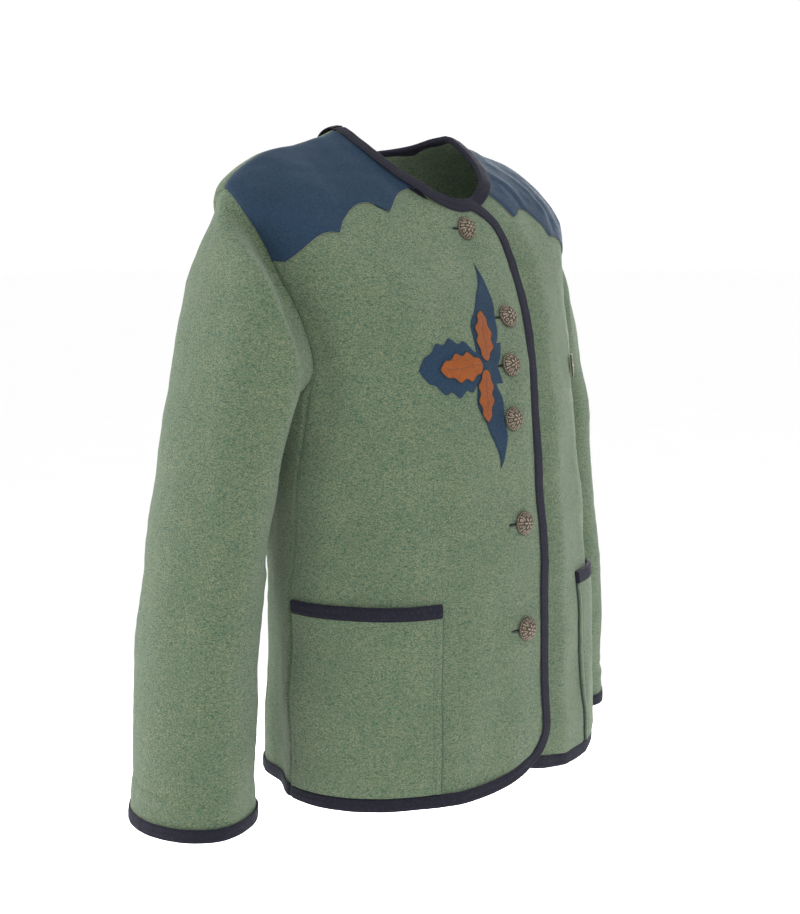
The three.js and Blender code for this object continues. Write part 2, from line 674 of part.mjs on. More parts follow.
function addYoke(side, word, grid, clearing) {
  const outline = block(yokeOutline(side), -REACH, BACK_OF_YOKE);
  const yoke = layer(grid, LIFT, LIFT + FELT, [outline]);
  add(`yoke_${word}`, toGeometry(yoke.subtract(clearing)), BLUE);
}

// A patch pocket and the band along its mouth, cut on the slant that the pocket faces.
function addPocket(side, word, grid, clearing) {
  const { turn, back, front, top, band } = POCKET;
  const far = -100;             // the pocket's block stops here, short of the back
  const cut = (bottom, upper) => {
    const outline = [[-side * back, bottom], [-side * front, bottom], [-side * front, upper],
      [-side * back, upper]];
    return block(outline, -REACH, far, side * turn);
  };
  const patch = layer(grid, LIFT, LIFT + CLOTH, [cut(LOWEST, top - band - LIFT)]);
  add(`pocket_${word}`, toGeometry(patch.subtract(clearing)), GREEN);
  const mouth = layer(grid, LIFT, LIFT + CLOTH + TAPE, [cut(top - band, top)]);
  add(`pocket_binding_${word}`, toGeometry(mouth), NAVY);
}

function addSleeves() {
  for (const [side, word] of [[-1, 'right'], [1, 'left']]) {
    const grid = sleeveGrid(side);
    const cuff = grid[grid.length - 1];
    add(`sleeve_${word}`, wall(grid, 0, -CLOTH, true), GREEN);
    add(`binding_cuff_${word}`, sweep(side < 0 ? cuff : [...cuff].reverse(), CHANNEL, true), NAVY);
  }
}

function addRoundBindings() {
  const back = backGrid();
  const right = sideGrid(-1)[0];
  const left = sideGrid(1)[0];
  const hem = [...left, ...back[0], ...[...right].reverse()];
  add('binding_hem_back', sweep(hem, CHANNEL), NAVY);
  add('binding_neck_back', sweep([...back[back.length - 1]].reverse(), CHANNEL), NAVY);
}

function addMotif() {
  const beside = { from: 4, to: 18 };   // the rows that the motif lies on
  const grid = frontGrid(-1).slice(beside.from, beside.to);
  const low = LIFT + FELT + LIFT;
  const ground = layer(grid, LIFT, LIFT + FELT, GROUND.map(leafBlock));
  add('motif_ground', toGeometry(ground), BLUE);
  for (const leaf of LEAVES) {
    const blade = layer(grid, low, low + LEAF_CLOTH, [leafBlock({ ...leaf, start: LEAF_START })]);
    add(`motif_leaf_${leaf.name}`, toGeometry(blade), RUST);
  }
}

function addMetal() {
  BUTTONS.forEach(({ x, z }, i) => {
    add(`button_${i + 1}`, place(buttonShape(), frontSpot(x, z), BUTTON_LIFT), SILVER);
  });
  const spotUnder = frontSpot(ORNAMENT.x, ORNAMENT.z);
  add('chest_ornament', place(ornamentShape(), spotUnder, ORNAMENT.lift), SILVER);
}

addBody();
addSleeves();
addRoundBindings();
addMotif();
addMetal();

export default group;
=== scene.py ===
"""The looks of a tyrolean loden jacket, laid out as an add-on and run as a script.

The formulas work in millimetres in the jacket's own frame: +X is the wearer's left, -Y the
front, +Z up, and the origin is the middle of the neck. A place on the body is an angle, 0 at
centre front and 90 at the left side, and a level, from 0 at the hem to 10 at the neck. A place
on a sleeve is an angle phi, 0 outside and 90 in front, and a station along it, from -1 at the
armhole over 0 at the underarm to 5 at the cuff.
"""
import math

import bpy
import numpy as np
from mathutils import Matrix, Vector
from mathutils.geometry import delaunay_2d_cdt


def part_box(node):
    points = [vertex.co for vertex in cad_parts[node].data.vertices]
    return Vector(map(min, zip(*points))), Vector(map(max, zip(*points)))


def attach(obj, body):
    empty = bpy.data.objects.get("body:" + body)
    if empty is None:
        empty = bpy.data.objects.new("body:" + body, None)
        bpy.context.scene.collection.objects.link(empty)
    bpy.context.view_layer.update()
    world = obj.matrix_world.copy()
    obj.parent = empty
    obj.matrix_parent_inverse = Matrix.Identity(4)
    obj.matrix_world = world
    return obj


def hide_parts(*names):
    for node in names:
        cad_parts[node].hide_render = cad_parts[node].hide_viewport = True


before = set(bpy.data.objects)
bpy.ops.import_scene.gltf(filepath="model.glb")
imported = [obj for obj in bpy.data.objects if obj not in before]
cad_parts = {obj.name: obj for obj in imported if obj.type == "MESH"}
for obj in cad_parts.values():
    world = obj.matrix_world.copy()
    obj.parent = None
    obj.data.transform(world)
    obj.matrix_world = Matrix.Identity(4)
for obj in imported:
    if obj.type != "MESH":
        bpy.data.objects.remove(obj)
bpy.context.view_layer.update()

bl_info = {
    "name": "Tyrolean loden jacket",
    "version": (1, 0, 0),
    "blender": (4, 5, 0),
    "location": "View3D > Sidebar > Jacket",
    "description": "Sews a bound loden jacket with yokes, pockets, a leaf motif and buttons",
    "category": "Object",
}

MM = 0.001

# ---------- sizes of the cut, in millimetres ----------
CLOTH = 2.2
FELT = 1.2
LEAF_CLOTH = 0.9
TAPE = 1.2
TAPE_WIDTH = 13.5
LIFT = 0.4
FIT_OUT = 0.5
FIT_IN = 1.0
SEAM_HALF = 0.2
SLEEVE_GAP = 0.5
UNDERLAP = 7.2
UNDERLAP_FROM = 1.5
UNDERLAP_TO = 11
UNDERLAP_AT_NECK = 26
NECK_LEVEL = 10
TIP_LEVEL = 7
UNDERARM_LEVEL = 4.12
SEAM_TURNS = 3.55
SHOULDER = 90
FLARE_FROM = 2.4
SAG_FROM = 3
CORNER_FROM = 0.637
CORNER_RISE = 0.54
CORNER_LEVEL = 1.6
TOP_FROM = 0.9
TOP_DROP = 1.6
CUFF = 5
SIDES = ((-1, "right"), (1, "left"))

# The folded tape's legs, how far joined tapes run on, and the back neck's lift over the cloth.
LEG = TAPE_WIDTH - TAPE - FIT_OUT
TAPE_RUN_ON = 0.7
NECK_TAPE_LIFT = 0.8

# Grids of points: distances from an edge, half breadths, the height of one level at the hem
# and the level where the even rows begin.
EDGE_STEPS = (0, 0.5, 1.1, 1.8, 2.6, 3.6, 5.0, 6.8, 9.0)
EDGE_ZONE = 11
FRONT_BREADTH = 226
BACK_HALF = 205
PANEL_HALF = 56
POCKET_HALF = 72
LEVEL_RISE = 113
EVEN_FROM = 0.13
UNDERSIDE = (135, 225)
HEAD_LENGTH = 130

# How full a layer is at its very edge.
EDGE_FULL = 0.35


def table(columns, *rows):
    """A table as one array for each named column."""
    return {name: np.array([row[i] for row in rows], float) for i, name in enumerate(columns)}


# Rings of the body from hem to neck, as in the cut.
RINGS = table(
    ("z", "half", "mid", "front", "back", "square", "dip_front", "dip_back",
     "edge", "seam_front", "seam_back"),
    (-643, 196, -60, 134, 130, 2.15, 0, 0, 8.5, 92, 126),
    (-530, 192, -55, 134, 124, 2.15, 0, 0, 8.2, 91.5, 125),
    (-415, 187, -44, 139, 116, 2.2, 0, 0, 8.8, 88, 124),
    (-312, 186, -25, 147, 110, 2.25, 0, 0, 9.2, 79, 122),
    (-235, 189, -8, 152, 104, 2.3, 0, 0, 10.3, 69, 120),
    (-165, 199, 0, 144, 98, 2.3, 25, 0, 12.8, 62, 118),
    (-104, 212, 2, 128, 90, 2.3, 48, 8, 14, 62, 118),
    (-57, 220, 3, 112, 80, 2.25, 66, 14, 14.8, 62, 118),
    (-26, 181, 2, 102, 72, 2.2, 72, 14, 16, 62, 118),
    (-10, 129, 1, 96, 66, 2.1, 69, 14, 17.5, 62, 118),
    (2, 76, 0, 92, 62, 2, 67, 14, 18, 62, 118),
)
DIP_POWER_FRONT = 1.1
DIP_POWER_BACK = 1.5

HEM_FOLDS = table(
    ("at", "wide", "out", "fade"),
    (-108, 11, -11, 2.6), (-133, 13, 9, 2.4), (-163, 14, -6, 1.8),
    (106, 12, -8, 2.2), (131, 14, 8, 2.6), (158, 12, -5, 1.9),
)

# The armhole for every 22.5 degrees round it, from the shoulder tip over the front.
ARMHOLE_STEP = 22.5
ARMHOLE = table(
    ("angle", "level"),
    (90, 7), (83, 6.86), (77.5, 6.55), (74, 6.1), (71, 5.6), (68, 4.9),
    (67.5, UNDERARM_LEVEL), (77, 3.8), (93, 3.7), (109, 3.8), (119.5, UNDERARM_LEVEL),
    (120, 4.9), (116, 5.6), (110, 6.15), (104, 6.6), (97.5, 6.88),
)
FRONT_CORNER = 6
BACK_CORNER = 10

SLEEVE = table(
    ("z", "reach", "right", "left", "across", "fore", "tilt"),
    (-200, 222, -18, 26, 30, 80, 70),
    (-300, 239, -9, 17, 40, 76, 34),
    (-400, 253, -2, 12, 47, 71, 12),
    (-500, 264, 0, 9, 52, 69, 4),
    (-597, 270, 0, 10, 55, 67, 2),
    (-657, 273, 0, 10, 57, 67, 0),
)
SLEEVE_TURN_FROM = 30
SLEEVE_TURN_TO = 120
# How far the sleeve keeps its direction at the armhole and at its first ring, for the
# underside, the sides and the top.
SLEEVE_FLOW = table(("leave", "arrive"), (1.2, 0.6), (0.9, 0.9), (0.9, 1.6))

BUTTONS = ((1, -93), (18, -180), (3, -226), (-3, -278), (-2, -380), (-3, -485))
HOLE_TO_SIDE = 19
HOLE_TO_EDGE = 4
HOLE_SLIT = 1.4
BLADE_DEPTH = 14
BUTTON_LIFT = 1
BUTTON_TURN = 47
BUTTON_RIM = 1.4
# Raised work of a button: its kind, how many go round, the first one's turn, how far they
# lean from the dome's top, and their size.
BUTTON_RELIEF = (
    ("bead", 1, 0, 0, (1.3, 1.3, 0.5)),
    ("bead", 6, 0, 22, (2.0, 0.9, 0.42)),
    ("scroll", 6, 30, 40, (1.0, 0.9, 0.55)),
    ("scroll", 9, 0, 58, (1.4, 0.9, 0.6)),
    ("bead", 9, 20, 52, (1.6, 0.5, 0.4)),
    ("bead", 9, 20, 72, (1.1, 0.9, 0.4)),
    ("bead", 30, 0, 88, (0.6, 0.9, 0.7)),
)
ORNAMENT = (141, -236)
ORNAMENT_LIFT = 1.6
ORNAMENT_HALF = (9.5, 13)
ORNAMENT_THICK = 2.4
ORNAMENT_PETALS = 11
ORNAMENT_BEADS = 26

# Lower edge of a yoke in front view, from the armhole to the neck, with each scallop's rise.
YOKE_CUSPS = table(
    ("x", "z", "rise"),
    (197, -128, 0), (150, -99, 10), (143, -88, 0), (90, -79, 13), (84, -73, 0),
    (50, -56, 6), (32, -42, 0),
)
# Its depth, the height of one level at the neck, and the angle it stops short of a seam.
YOKE_DEPTH = 96
NECK_LEVEL_RISE = 45
YOKE_GAP = 0.15

POCKET_TURN = 53
POCKET_BACK = -70
POCKET_FRONT = 74
POCKET_TOP = -447
POCKET_BAND = 13
POCKET_RAISE = 3.2
POCKET_SWELL = 1.6
POCKET_SWELL_DEPTH = 190
POCKET_STITCH_IN = 7.5
POCKET_STITCH_DEPTH = 0.95
# How far off the cloth the dark line along a pocket's side edge lies, a line of painted shadow.
POCKET_SHADOW_LINE_LIFT = 1.2

MOTIF = (-34, -225)
LEAF_START = 4
LEAF_COLUMNS = ("turn", "long", "wide", "start", "skew", "blunt", "lobe", "waves", "bend")
LEAVES = {
    "up": (-17, 50, 23, LEAF_START, 0.85, 0.6, 0.13, 3.5, 0),
    "side": (93, 47, 29, LEAF_START, 0.85, 0.6, 0.13, 3.5, 0),
    "down": (177, 50, 22, LEAF_START, 0.85, 0.6, 0.13, 3.5, 0),
}
GROUND = (
    (-20, 104, 35, 0, 0.62, 1.1, 0.07, 3, 15),
    (92, 71, 56, 0, 0.9, 0.7, 0.09, 4.5, 0),
    (185, 100, 34, 0, 0.62, 1.0, 0.07, 3, -13),
    (-57, 38, 22, 0, 0.7, 1.1, 0, 3.5, 0),
    (-126, 30, 22, 0, 0.7, 1.1, 0, 3.5, 0),
)

# ---------- creases, each from one place to another ----------
# Columns: place from and to, sideways bow at the middle, half breadth and height in
# millimetres, and the share of its height that it keeps at its two ends.
BODY_CREASES = (
    # right front: beside the armhole, under the bust and down to the pocket
    ((-67, 5.2), (-66, 3.2), 4, 15, -4.5, 0.7, 0),
    ((-58, 4.9), (-50, 3.3), -2, 17, 2.6, 0.3, 0),
    ((-60, 3.3), (-70, 1.2), 2, 20, -2.6, 0, 0.2),
    ((-44, 3.6), (-46, 1.4), 3, 26, 2.2, 0, 0.2),
    ((-28, 3.4), (-24, 0.6), -3, 20, -2.0, 0, 0.6),
    ((-10, 3.2), (-6, 0.4), 2, 22, 1.8, 0, 0.6),
    ((-50, 6.3), (-34, 5.2), 3, 14, 1.4, 0.2, 0),
    ((-30, 7.6), (-16, 6.3), 2, 12, -1.0, 0, 0),
    ((-20, 2.9), (8, 2.6), -0.2, 10, -1.1, 0, 0.3),
    ((-16, 2.5), (8, 2.3), 0.15, 9, 1.0, 0, 0.3),
    # left front: folds from the neck over the yoke, and a fall beside the armhole
    ((62, 9.6), (33, 7.7), 3, 7, 2.4, 0.5, 0),
    ((56, 9.3), (27, 7.3), 2, 8, -2.0, 0.3, 0),
    ((74, 9.2), (44, 7.1), 2, 7, 2.2, 0.3, 0),
    ((69, 8.7), (38, 6.7), 3, 8, -2.2, 0.2, 0),
    ((80, 8.2), (57, 6.4), 3, 8, 2.0, 0.2, 0.2),
    ((66, 5.4), (64, 3.4), -3, 15, -4.2, 0.7, 0),
    ((56, 4.8), (50, 3.2), 3, 16, 2.4, 0.3, 0),
    ((34, 3.6), (30, 0.7), 3, 22, -2.2, 0, 0.5),
    ((46, 3.2), (50, 1.0), -3, 24, 2.0, 0, 0.4),
    ((18, 3.2), (16, 0.4), 1, 14, 1.2, 0, 0.6),
    # back: from the armholes down, over the shoulder blades and along the spine
    ((-122, 5.0), (-138, 3.4), 3, 15, -4.0, 0.6, 0),
    ((-130, 5.6), (-150, 4.4), -2, 13, 2.2, 0.2, 0),
    ((123, 5.1), (139, 3.3), -3, 15, -3.6, 0.6, 0),
    ((131, 5.7), (148, 4.3), 2, 13, 2.0, 0.2, 0),
    ((-166, 4.6), (-158, 1.2), 3, 22, 2.4, 0, 0.3),
    ((172, 4.9), (166, 1.6), -3, 24, -2.6, 0, 0.2),
    ((-148, 3.3), (-146, 0.6), -4, 18, 2.0, 0, 0.5),
    ((150, 3.0), (148, 0.5), 4, 19, -2.4, 0, 0.5),
    # sides: two soft folds at the waist
    ((-96, 3.5), (-104, 1.9), 2, 12, -2.2, 0.3, 0),
    ((97, 3.4), (104, 1.8), -2, 12, -2.0, 0.3, 0),
)

SLEEVE_CREASES = {
    -1: (
        # the turned-up edge shows as a shallow step above the cuff
        ((-80, 4.18), (95, 4.28), 0.03, 3.4, -1.3, 0, 0.1),
        ((95, 4.28), (270, 4.2), -0.03, 3.4, -1.1, 0.1, 0),
        ((-60, 4.32), (120, 4.42), 0.03, 4.5, 0.9, 0, 0),
        # folds at the inner elbow
        ((118, 1.75), (206, 1.35), -0.08, 9, -4.2, 0, 0),
        ((112, 2.15), (200, 1.85), 0.06, 8, 2.6, 0, 0),
        ((126, 2.55), (214, 2.35), 0.06, 9, -3.6, 0, 0),
        ((150, 2.9), (232, 2.75), -0.05, 9, 2.2, 0, 0),
        # long falls from the sleeve head
        ((62, -0.62), (74, 1.3), 6, 15, -3.0, 0.2, 0),
        ((40, -0.6), (46, 1.9), -6, 18, 2.0, 0.2, 0),
        ((98, -0.3), (104, 1.6), 6, 13, 2.6, 0, 0),
        ((18, 0.6), (30, 3.6), 8, 22, -1.8, 0, 0),
        ((72, 1.9), (60, 4.0), -8, 20, 1.8, 0, 0),
        ((96, 2.4), (88, 4.1), 6, 13, -2.0, 0, 0),
        ((300, -0.5), (296, 1.8), 6, 16, -3.0, 0.2, 0),
        ((266, 0.2), (270, 2.6), -6, 14, 2.4, 0, 0),
        ((322, 1.4), (314, 3.9), 6, 20, 1.8, 0, 0),
        ((250, 2.2), (262, 4.0), 6, 14, -2.2, 0, 0),
    ),
    1: (
        ((-70, 4.2), (100, 4.26), -0.03, 3.4, -1.2, 0, 0.1),
        ((100, 4.26), (275, 4.17), 0.03, 3.4, -1.2, 0.1, 0),
        ((-40, 4.36), (130, 4.4), -0.03, 4.5, 0.9, 0, 0),
        ((122, 1.6), (208, 1.3), -0.06, 9, -3.8, 0, 0),
        ((116, 2.05), (204, 1.75), 0.06, 8, 2.4, 0, 0),
        ((130, 2.45), (216, 2.3), 0.05, 9, -3.4, 0, 0),
        ((66, -0.55), (76, 1.2), -5, 15, -2.8, 0.2, 0),
        ((42, -0.6), (50, 2.1), 6, 18, 2.0, 0.2, 0),
        ((20, 0.8), (32, 3.4), -8, 22, -1.8, 0, 0),
        ((74, 2.0), (62, 4.0), 7, 19, 1.8, 0, 0),
        ((298, -0.5), (294, 1.6), -6, 16, -2.8, 0.2, 0),
        ((264, 0.3), (272, 2.5), 6, 14, 2.2, 0, 0),
        ((320, 1.6), (312, 3.8), -6, 20, 1.8, 0, 0),
    ),
}
SEAM_DIP = -1.3
SLEEVE_FREE = -0.7
NECK_STAND = 6
NECK_STAND_FROM = 9.4
SEAM_BREADTH = 2.4

# ---------- stitches ----------
# Pitch, length and thickness in millimetres, how far they sink in, their thread and their slot.
STITCHES = {
    "yoke": (1.3, 1.25, 0.5, 0.05, "sand thread", "blue_felt"),
    # The leaf stitches, dark and close set on the leaf's edge, are its stitching and a line of
    # painted shadow.
    "leaf": (1.1, 1.15, 1.0, 0, "dark thread", "rust_felt"),
    "vein": (1.6, 1.5, 0.55, 0.1, "rust thread", "rust_felt"),
    "pocket": (3.1, 2.4, 0.75, 0, "green thread", "green_loden"),
    # A close, thick dark line along each side edge of a pocket: painted shadow where it meets the
    # front.
    "pocket shadow line": (1.8, 2.0, 2.2, 0, "green thread", "green_loden"),
    "buttonhole": (0.75, 1.5, 0.7, -0.1, "dark thread", "navy_tape"),
}

# ---------- stage: places in metres, directions in degrees, power in watts ----------
LIGHTS = (
    ("key", (-1.6, -2.6, 1.5), 1.6, 22),
    ("fill", (1.6, -2.4, 0.4), 2.0, 5),
    ("rim right", (2.0, 1.5, 0.1), 1.6, 150),
    ("rim left", (-2.0, 2.0, 0.3), 1.6, 36),
)
LIGHTS_AIM = (0, -0.05, -0.35)
WORLD_STRENGTH = 1.03
FLOOR_LEVEL = -1.45
FLOOR_BREADTH = 400
CAMERA_PLACE = (-1.004, -1.054, -0.126)
CAMERA_TURN = 45 - 1.25
CAMERA_DOWN = 8.1
CAMERA_LENS = 53.96
CAMERA_SENSOR = 36

# ---------- small helpers ----------


def ease(x, start, end):
    """A smooth step from 0 at start to 1 at end."""
    t = np.clip((x - start) / (end - start), 0, 1)
    return t * t * (3 - 2 * t)


def mix(a, b, t):
    return a + (b - a) * t


def quarter(t):
    """The rise of a quarter circle as t goes from 0 to 1."""
    return 1 - np.sqrt(1 - np.clip(t, 0, 1) ** 2)


def unit(vectors):
    return vectors / np.linalg.norm(vectors, axis=-1, keepdims=True)


def select(*pieces):
    """Selects these pieces and nothing else, and makes the first one active."""
    bpy.ops.object.select_all(action="DESELECT")
    for piece in pieces:
        piece.select_set(True)
    if pieces:
        bpy.context.view_layer.objects.active = pieces[0]


def distance_along(points, axis=0):
    """The distance travelled at each point of a line or grid, along one axis."""
    steps = np.linalg.norm(np.diff(points, axis=axis), axis=-1)
    zero = np.zeros_like(np.take(steps, [0], axis=axis))
    return np.concatenate([zero, steps.cumsum(axis)], axis=axis)


def fullness(away, radius):
    """How full a layer is at distances from its edge, whole from the radius on."""
    return EDGE_FULL + (1 - EDGE_FULL) * np.sqrt(1 - (1 - np.clip(away / radius, 0, 1)) ** 2)


def between(column, at, closed=False):
    """A column's value between its rows, on a smooth curve through all of them."""
    at = np.asarray(at, float)
    count = len(column)
    if closed:
        i = np.floor(at).astype(int)
    else:
        at = np.clip(at, 0, count - 1)
        i = np.minimum(np.floor(at).astype(int), count - 2)

    def pick(k):
        return column[k % count] if closed else column[np.clip(k, 0, count - 1)]

    t = at - i
    a, b = pick(i), pick(i + 1)
    slope_a = (b - pick(i - 1)) / 2
    slope_b = (pick(i + 2) - a) / 2
    t2, t3 = t * t, t * t * t
    return ((2 * t3 - 3 * t2 + 1) * a + (t3 - 2 * t2 + t) * slope_a
            + (3 * t2 - 2 * t3) * b + (t3 - t2) * slope_b)


# ---------- the body's surface ----------


def body(angle, level):
    """Points of the body's nominal surface."""
    angle, level = np.broadcast_arrays(np.asarray(angle, float), np.asarray(level, float))
    ring = {name: between(column, level) for name, column in RINGS.items()}
    c, s = np.cos(np.radians(angle)), np.sin(np.radians(angle))
    power = 2 / ring["square"]
    deep = np.abs(c) ** power
    wide = np.sign(s) * np.abs(s) ** power
    depth = np.where(c > 0, -ring["front"] * deep, ring["back"] * deep)
    dip = np.where(c > 0, ring["dip_front"] * np.abs(c) ** DIP_POWER_FRONT,
                   ring["dip_back"] * np.abs(c) ** DIP_POWER_BACK)
    out = 0
    for at, breadth, height, fade in zip(*HEM_FOLDS.values()):
        away = ((angle - at + 540) % 360 - 180) / breadth
        out = out + height * np.exp(-away * away) * (1 - ease(level, 0, fade))
    return np.stack([ring["half"] * wide + out * s, ring["mid"] + depth - out * c,
                     ring["z"] - dip], axis=-1)


def outward(angle, level):
    """The directions away from the body."""
    across = body(angle + 0.4, level) - body(angle - 0.4, level)
    up = body(angle, level + 0.05) - body(angle, level - 0.05)
    return unit(np.cross(across, up))


def armhole(side, phi):
    """The angle and level of the armhole's edge."""
    at = np.asarray(phi, float) / ARMHOLE_STEP
    return (side * between(ARMHOLE["angle"], at, closed=True),
            between(ARMHOLE["level"], at, closed=True))


def seam_gap(level):
    """The angle by which a panel stops short of a seam."""
    return np.degrees(SEAM_HALF / between(RINGS["half"], level))


def left_sink(angle, level):
    """How far the left front lies under the nominal surface."""
    past = angle - between(RINGS["edge"], level)
    end = mix(UNDERLAP_TO, UNDERLAP_AT_NECK, ease(level, TIP_LEVEL, NECK_LEVEL))
    return UNDERLAP * (1 - ease(past, UNDERLAP_FROM, end))


def find_place(u, z, turn=0.0, start=None):
    """The angle and level of the spots at u along a direction turned from +X, and at z."""
    u, z = np.broadcast_arrays(np.asarray(u, float), np.asarray(z, float))
    axis = np.array([math.cos(math.radians(turn)), math.sin(math.radians(turn))])
    angle = u / 3 + turn if start is None else np.full(u.shape, float(start))
    level = np.full(u.shape, NECK_LEVEL / 2)
    for _ in range(16):
        here = body(angle, level)
        da = (body(angle + 0.5, level) - here) * 2
        db = (body(angle, level + 0.02) - here) * 50
        want_u, want_z = u - here[..., :2] @ axis, z - here[..., 2]
        ua, ub = da[..., :2] @ axis, db[..., :2] @ axis
        area = ua * db[..., 2] - da[..., 2] * ub
        angle = angle + np.clip((want_u * db[..., 2] - want_z * ub) / area, -15, 15)
        step = np.clip((ua * want_z - da[..., 2] * want_u) / area, -1.5, 1.5)
        level = np.clip(level + step, 0.01, NECK_LEVEL - 0.05)
    return angle, level


# ---------- the sleeves' surface ----------


def sleeve_ring(side, phi, along):
    """Points of the sleeve from the underarm to the cuff."""
    ring = {name: between(column, along) for name, column in SLEEVE.items()}
    c, s = np.cos(np.radians(phi)), np.sin(np.radians(phi))
    place = ring["right"] if side < 0 else ring["left"]
    return np.stack([side * (ring["reach"] + ring["across"] * c), place - ring["fore"] * s,
                     ring["z"] + ring["tilt"] * c], axis=-1)


def sleeve_head(side, phi, along):
    """The part of the sleeve between the armhole and its first ring."""
    angle, level = armhole(side, phi)
    tangent = body(*armhole(side, phi + 9)) - body(*armhole(side, phi - 9))
    normal = unit(sum(outward(*armhole(side, phi + turn)) for turn in (-15, -8, 8, 15)))
    across = -side * unit(np.cross(tangent, normal))
    under = np.abs(phi % 360 - 180)
    lift = ease(SLEEVE_TURN_TO - under, 0, SLEEVE_TURN_TO - SLEEVE_TURN_FROM) * math.pi / 2
    start = normal * np.sin(lift)[..., None] + across * np.cos(lift)[..., None]
    first = sleeve_ring(side, phi, 0)
    end = unit(sleeve_ring(side, phi, 0.05) - first)
    edge = body(angle, level) + start * SLEEVE_GAP
    span = np.linalg.norm(first - edge, axis=-1)
    quarters = under / 90
    leave = np.interp(quarters, (0, 1, 2), SLEEVE_FLOW["leave"]) * span
    arrive = np.interp(quarters, (0, 1, 2), SLEEVE_FLOW["arrive"]) * span
    t = np.clip(along + 1, 0, 1)
    t2, t3 = t * t, t * t * t
    return (edge * (2 * t3 - 3 * t2 + 1)[..., None]
            + start * ((t3 - 2 * t2 + t) * leave)[..., None]
            + first * (3 * t2 - 2 * t3)[..., None]
            + end * ((t3 - t2) * arrive)[..., None])


def sleeve(side, phi, along):
    """Points of the whole sleeve's nominal surface."""
    phi, along = np.broadcast_arrays(np.asarray(phi, float), np.asarray(along, float))
    in_head = (along < 0)[..., None]
    return np.where(in_head, sleeve_head(side, phi, along), sleeve_ring(side, phi, along))


def sleeve_outward(side, phi, along):
    turning = sleeve(side, phi + 1, along) - sleeve(side, phi - 1, along)
    low, high = np.maximum(along - 0.02, -1), np.minimum(along + 0.02, CUFF)
    down = sleeve(side, phi, high) - sleeve(side, phi, low)
    return side * unit(np.cross(turning, down))


# ---------- creases and seams as lines on the surface ----------


def crease_line(surface, start, end, bow):
    """A bowed line on a surface between two places."""
    t = np.linspace(0, 1, 13)
    a = mix(start[0], end[0], t)
    b = mix(start[1], end[1], t)
    arch = bow * np.sin(math.pi * t)
    if abs(end[0] - start[0]) > 40:
        b = b + arch
    else:
        a = a + arch
    return surface(a, b)


def crease_lines(surface, creases):
    return [(crease_line(surface, start, end, bow), wide, out, ends)
            for start, end, bow, wide, out, *ends in creases]


def seam_lines():
    """Side seams, armholes and shoulder seams, where the cloth is drawn in."""
    lines = []
    for side in (-1, 1):
        for seam, corner in (("seam_front", FRONT_CORNER), ("seam_back", BACK_CORNER)):
            level = np.linspace(0, UNDERARM_LEVEL, 40)
            lines.append(body(side * seam_angle(level, seam, corner), level))
        lines.append(body(*armhole(side, np.linspace(0, 360, 73))))
        level = np.linspace(TIP_LEVEL, NECK_LEVEL, 16)
        lines.append(body(side * SHOULDER, level))
    return [(line, SEAM_BREADTH, SEAM_DIP, (1, 1)) for line in lines]


def seam_angle(level, seam, corner):
    """A side seam's angle, which turns to the armhole's corner near its top."""
    plain = between(RINGS[seam], np.minimum(level, SEAM_TURNS))
    part = np.clip((level - SEAM_TURNS) / (UNDERARM_LEVEL - SEAM_TURNS), 0, 1)
    return mix(plain, ARMHOLE["angle"][corner], part)


def height_over(points, lines):
    """How far the creases raise or sink each point."""
    flat = points.reshape(-1, 3)
    total = np.zeros(len(flat))
    for line, wide, out, (first, last) in lines:
        reach = 2.6 * wide
        inside = np.all((flat > line.min(0) - reach) & (flat < line.max(0) + reach), axis=1)
        index = np.nonzero(inside)[0]
        if not len(index):
            continue
        p = flat[index]
        nearest = np.full(len(p), np.inf)
        at = np.zeros(len(p))
        for k in range(len(line) - 1):
            a, ab = line[k], line[k + 1] - line[k]
            t = np.clip((p - a) @ ab / (ab @ ab), 0, 1)
            d2 = ((p - a - t[:, None] * ab) ** 2).sum(1)
            closer = d2 < nearest
            nearest = np.where(closer, d2, nearest)
            at = np.where(closer, (k + t) / (len(line) - 1), at)
        taper = mix(first, 1, ease(at, 0, 0.4)) * mix(last, 1, ease(1 - at, 0, 0.4))
        total[index] += out * taper * np.exp(-nearest / wide ** 2)
    return total.reshape(points.shape[:-1])


def waves(rng, count, shortest, longest):
    """Random directions and lengths of the waves that make cloth uneven."""
    length = rng.uniform(shortest, longest, count)
    way = unit(rng.normal(size=(count, 3)))
    return way * (2 * math.pi / length)[:, None], rng.uniform(0, 2 * math.pi, count)


UNEVEN = (waves(np.random.default_rng(3), 9, 55, 150), waves(np.random.default_rng(5), 12, 14, 34))
UNEVEN_HEIGHT = (0.42, 0.07)


def unevenness(points):
    """Small random swells, so that no stretch of cloth is perfectly smooth."""
    total = 0
    for (ways, phases), height in zip(UNEVEN, UNEVEN_HEIGHT):
        total = total + height * np.sin(points @ ways.T + phases).sum(-1)
    return total


SEAMS = seam_lines()
BODY_LINES = crease_lines(body, BODY_CREASES)
SLEEVE_LINES = {
    side: crease_lines(lambda a, b, side=side: sleeve(side, a, b), SLEEVE_CREASES[side])
    for side in (-1, 1)
}


def relief(points, lines):
    """Creases, seams and unevenness together, as a height at each point."""
    drawn_in = np.maximum(height_over(points, SEAMS), SEAM_DIP)
    return height_over(points, lines) + drawn_in + unevenness(points)


def body_relief(angle, level):
    to_front = np.abs((angle + 180) % 360 - 180)
    stand = NECK_STAND * ease(level, NECK_STAND_FROM, NECK_LEVEL)
    stand = stand * ease(to_front, 8, 42) * (1 - 0.6 * ease(to_front, 100, 140))
    return relief(body(angle, level), BODY_LINES) + stand


def on_body(angle, level, side=0):
    """Points of the worn cloth's outer face and the directions outwards."""
    point, normal = body(angle, level), outward(angle, level)
    out = body_relief(angle, level)
    if side > 0:
        out = out - left_sink(angle, level)
    return point + normal * out[..., None], normal


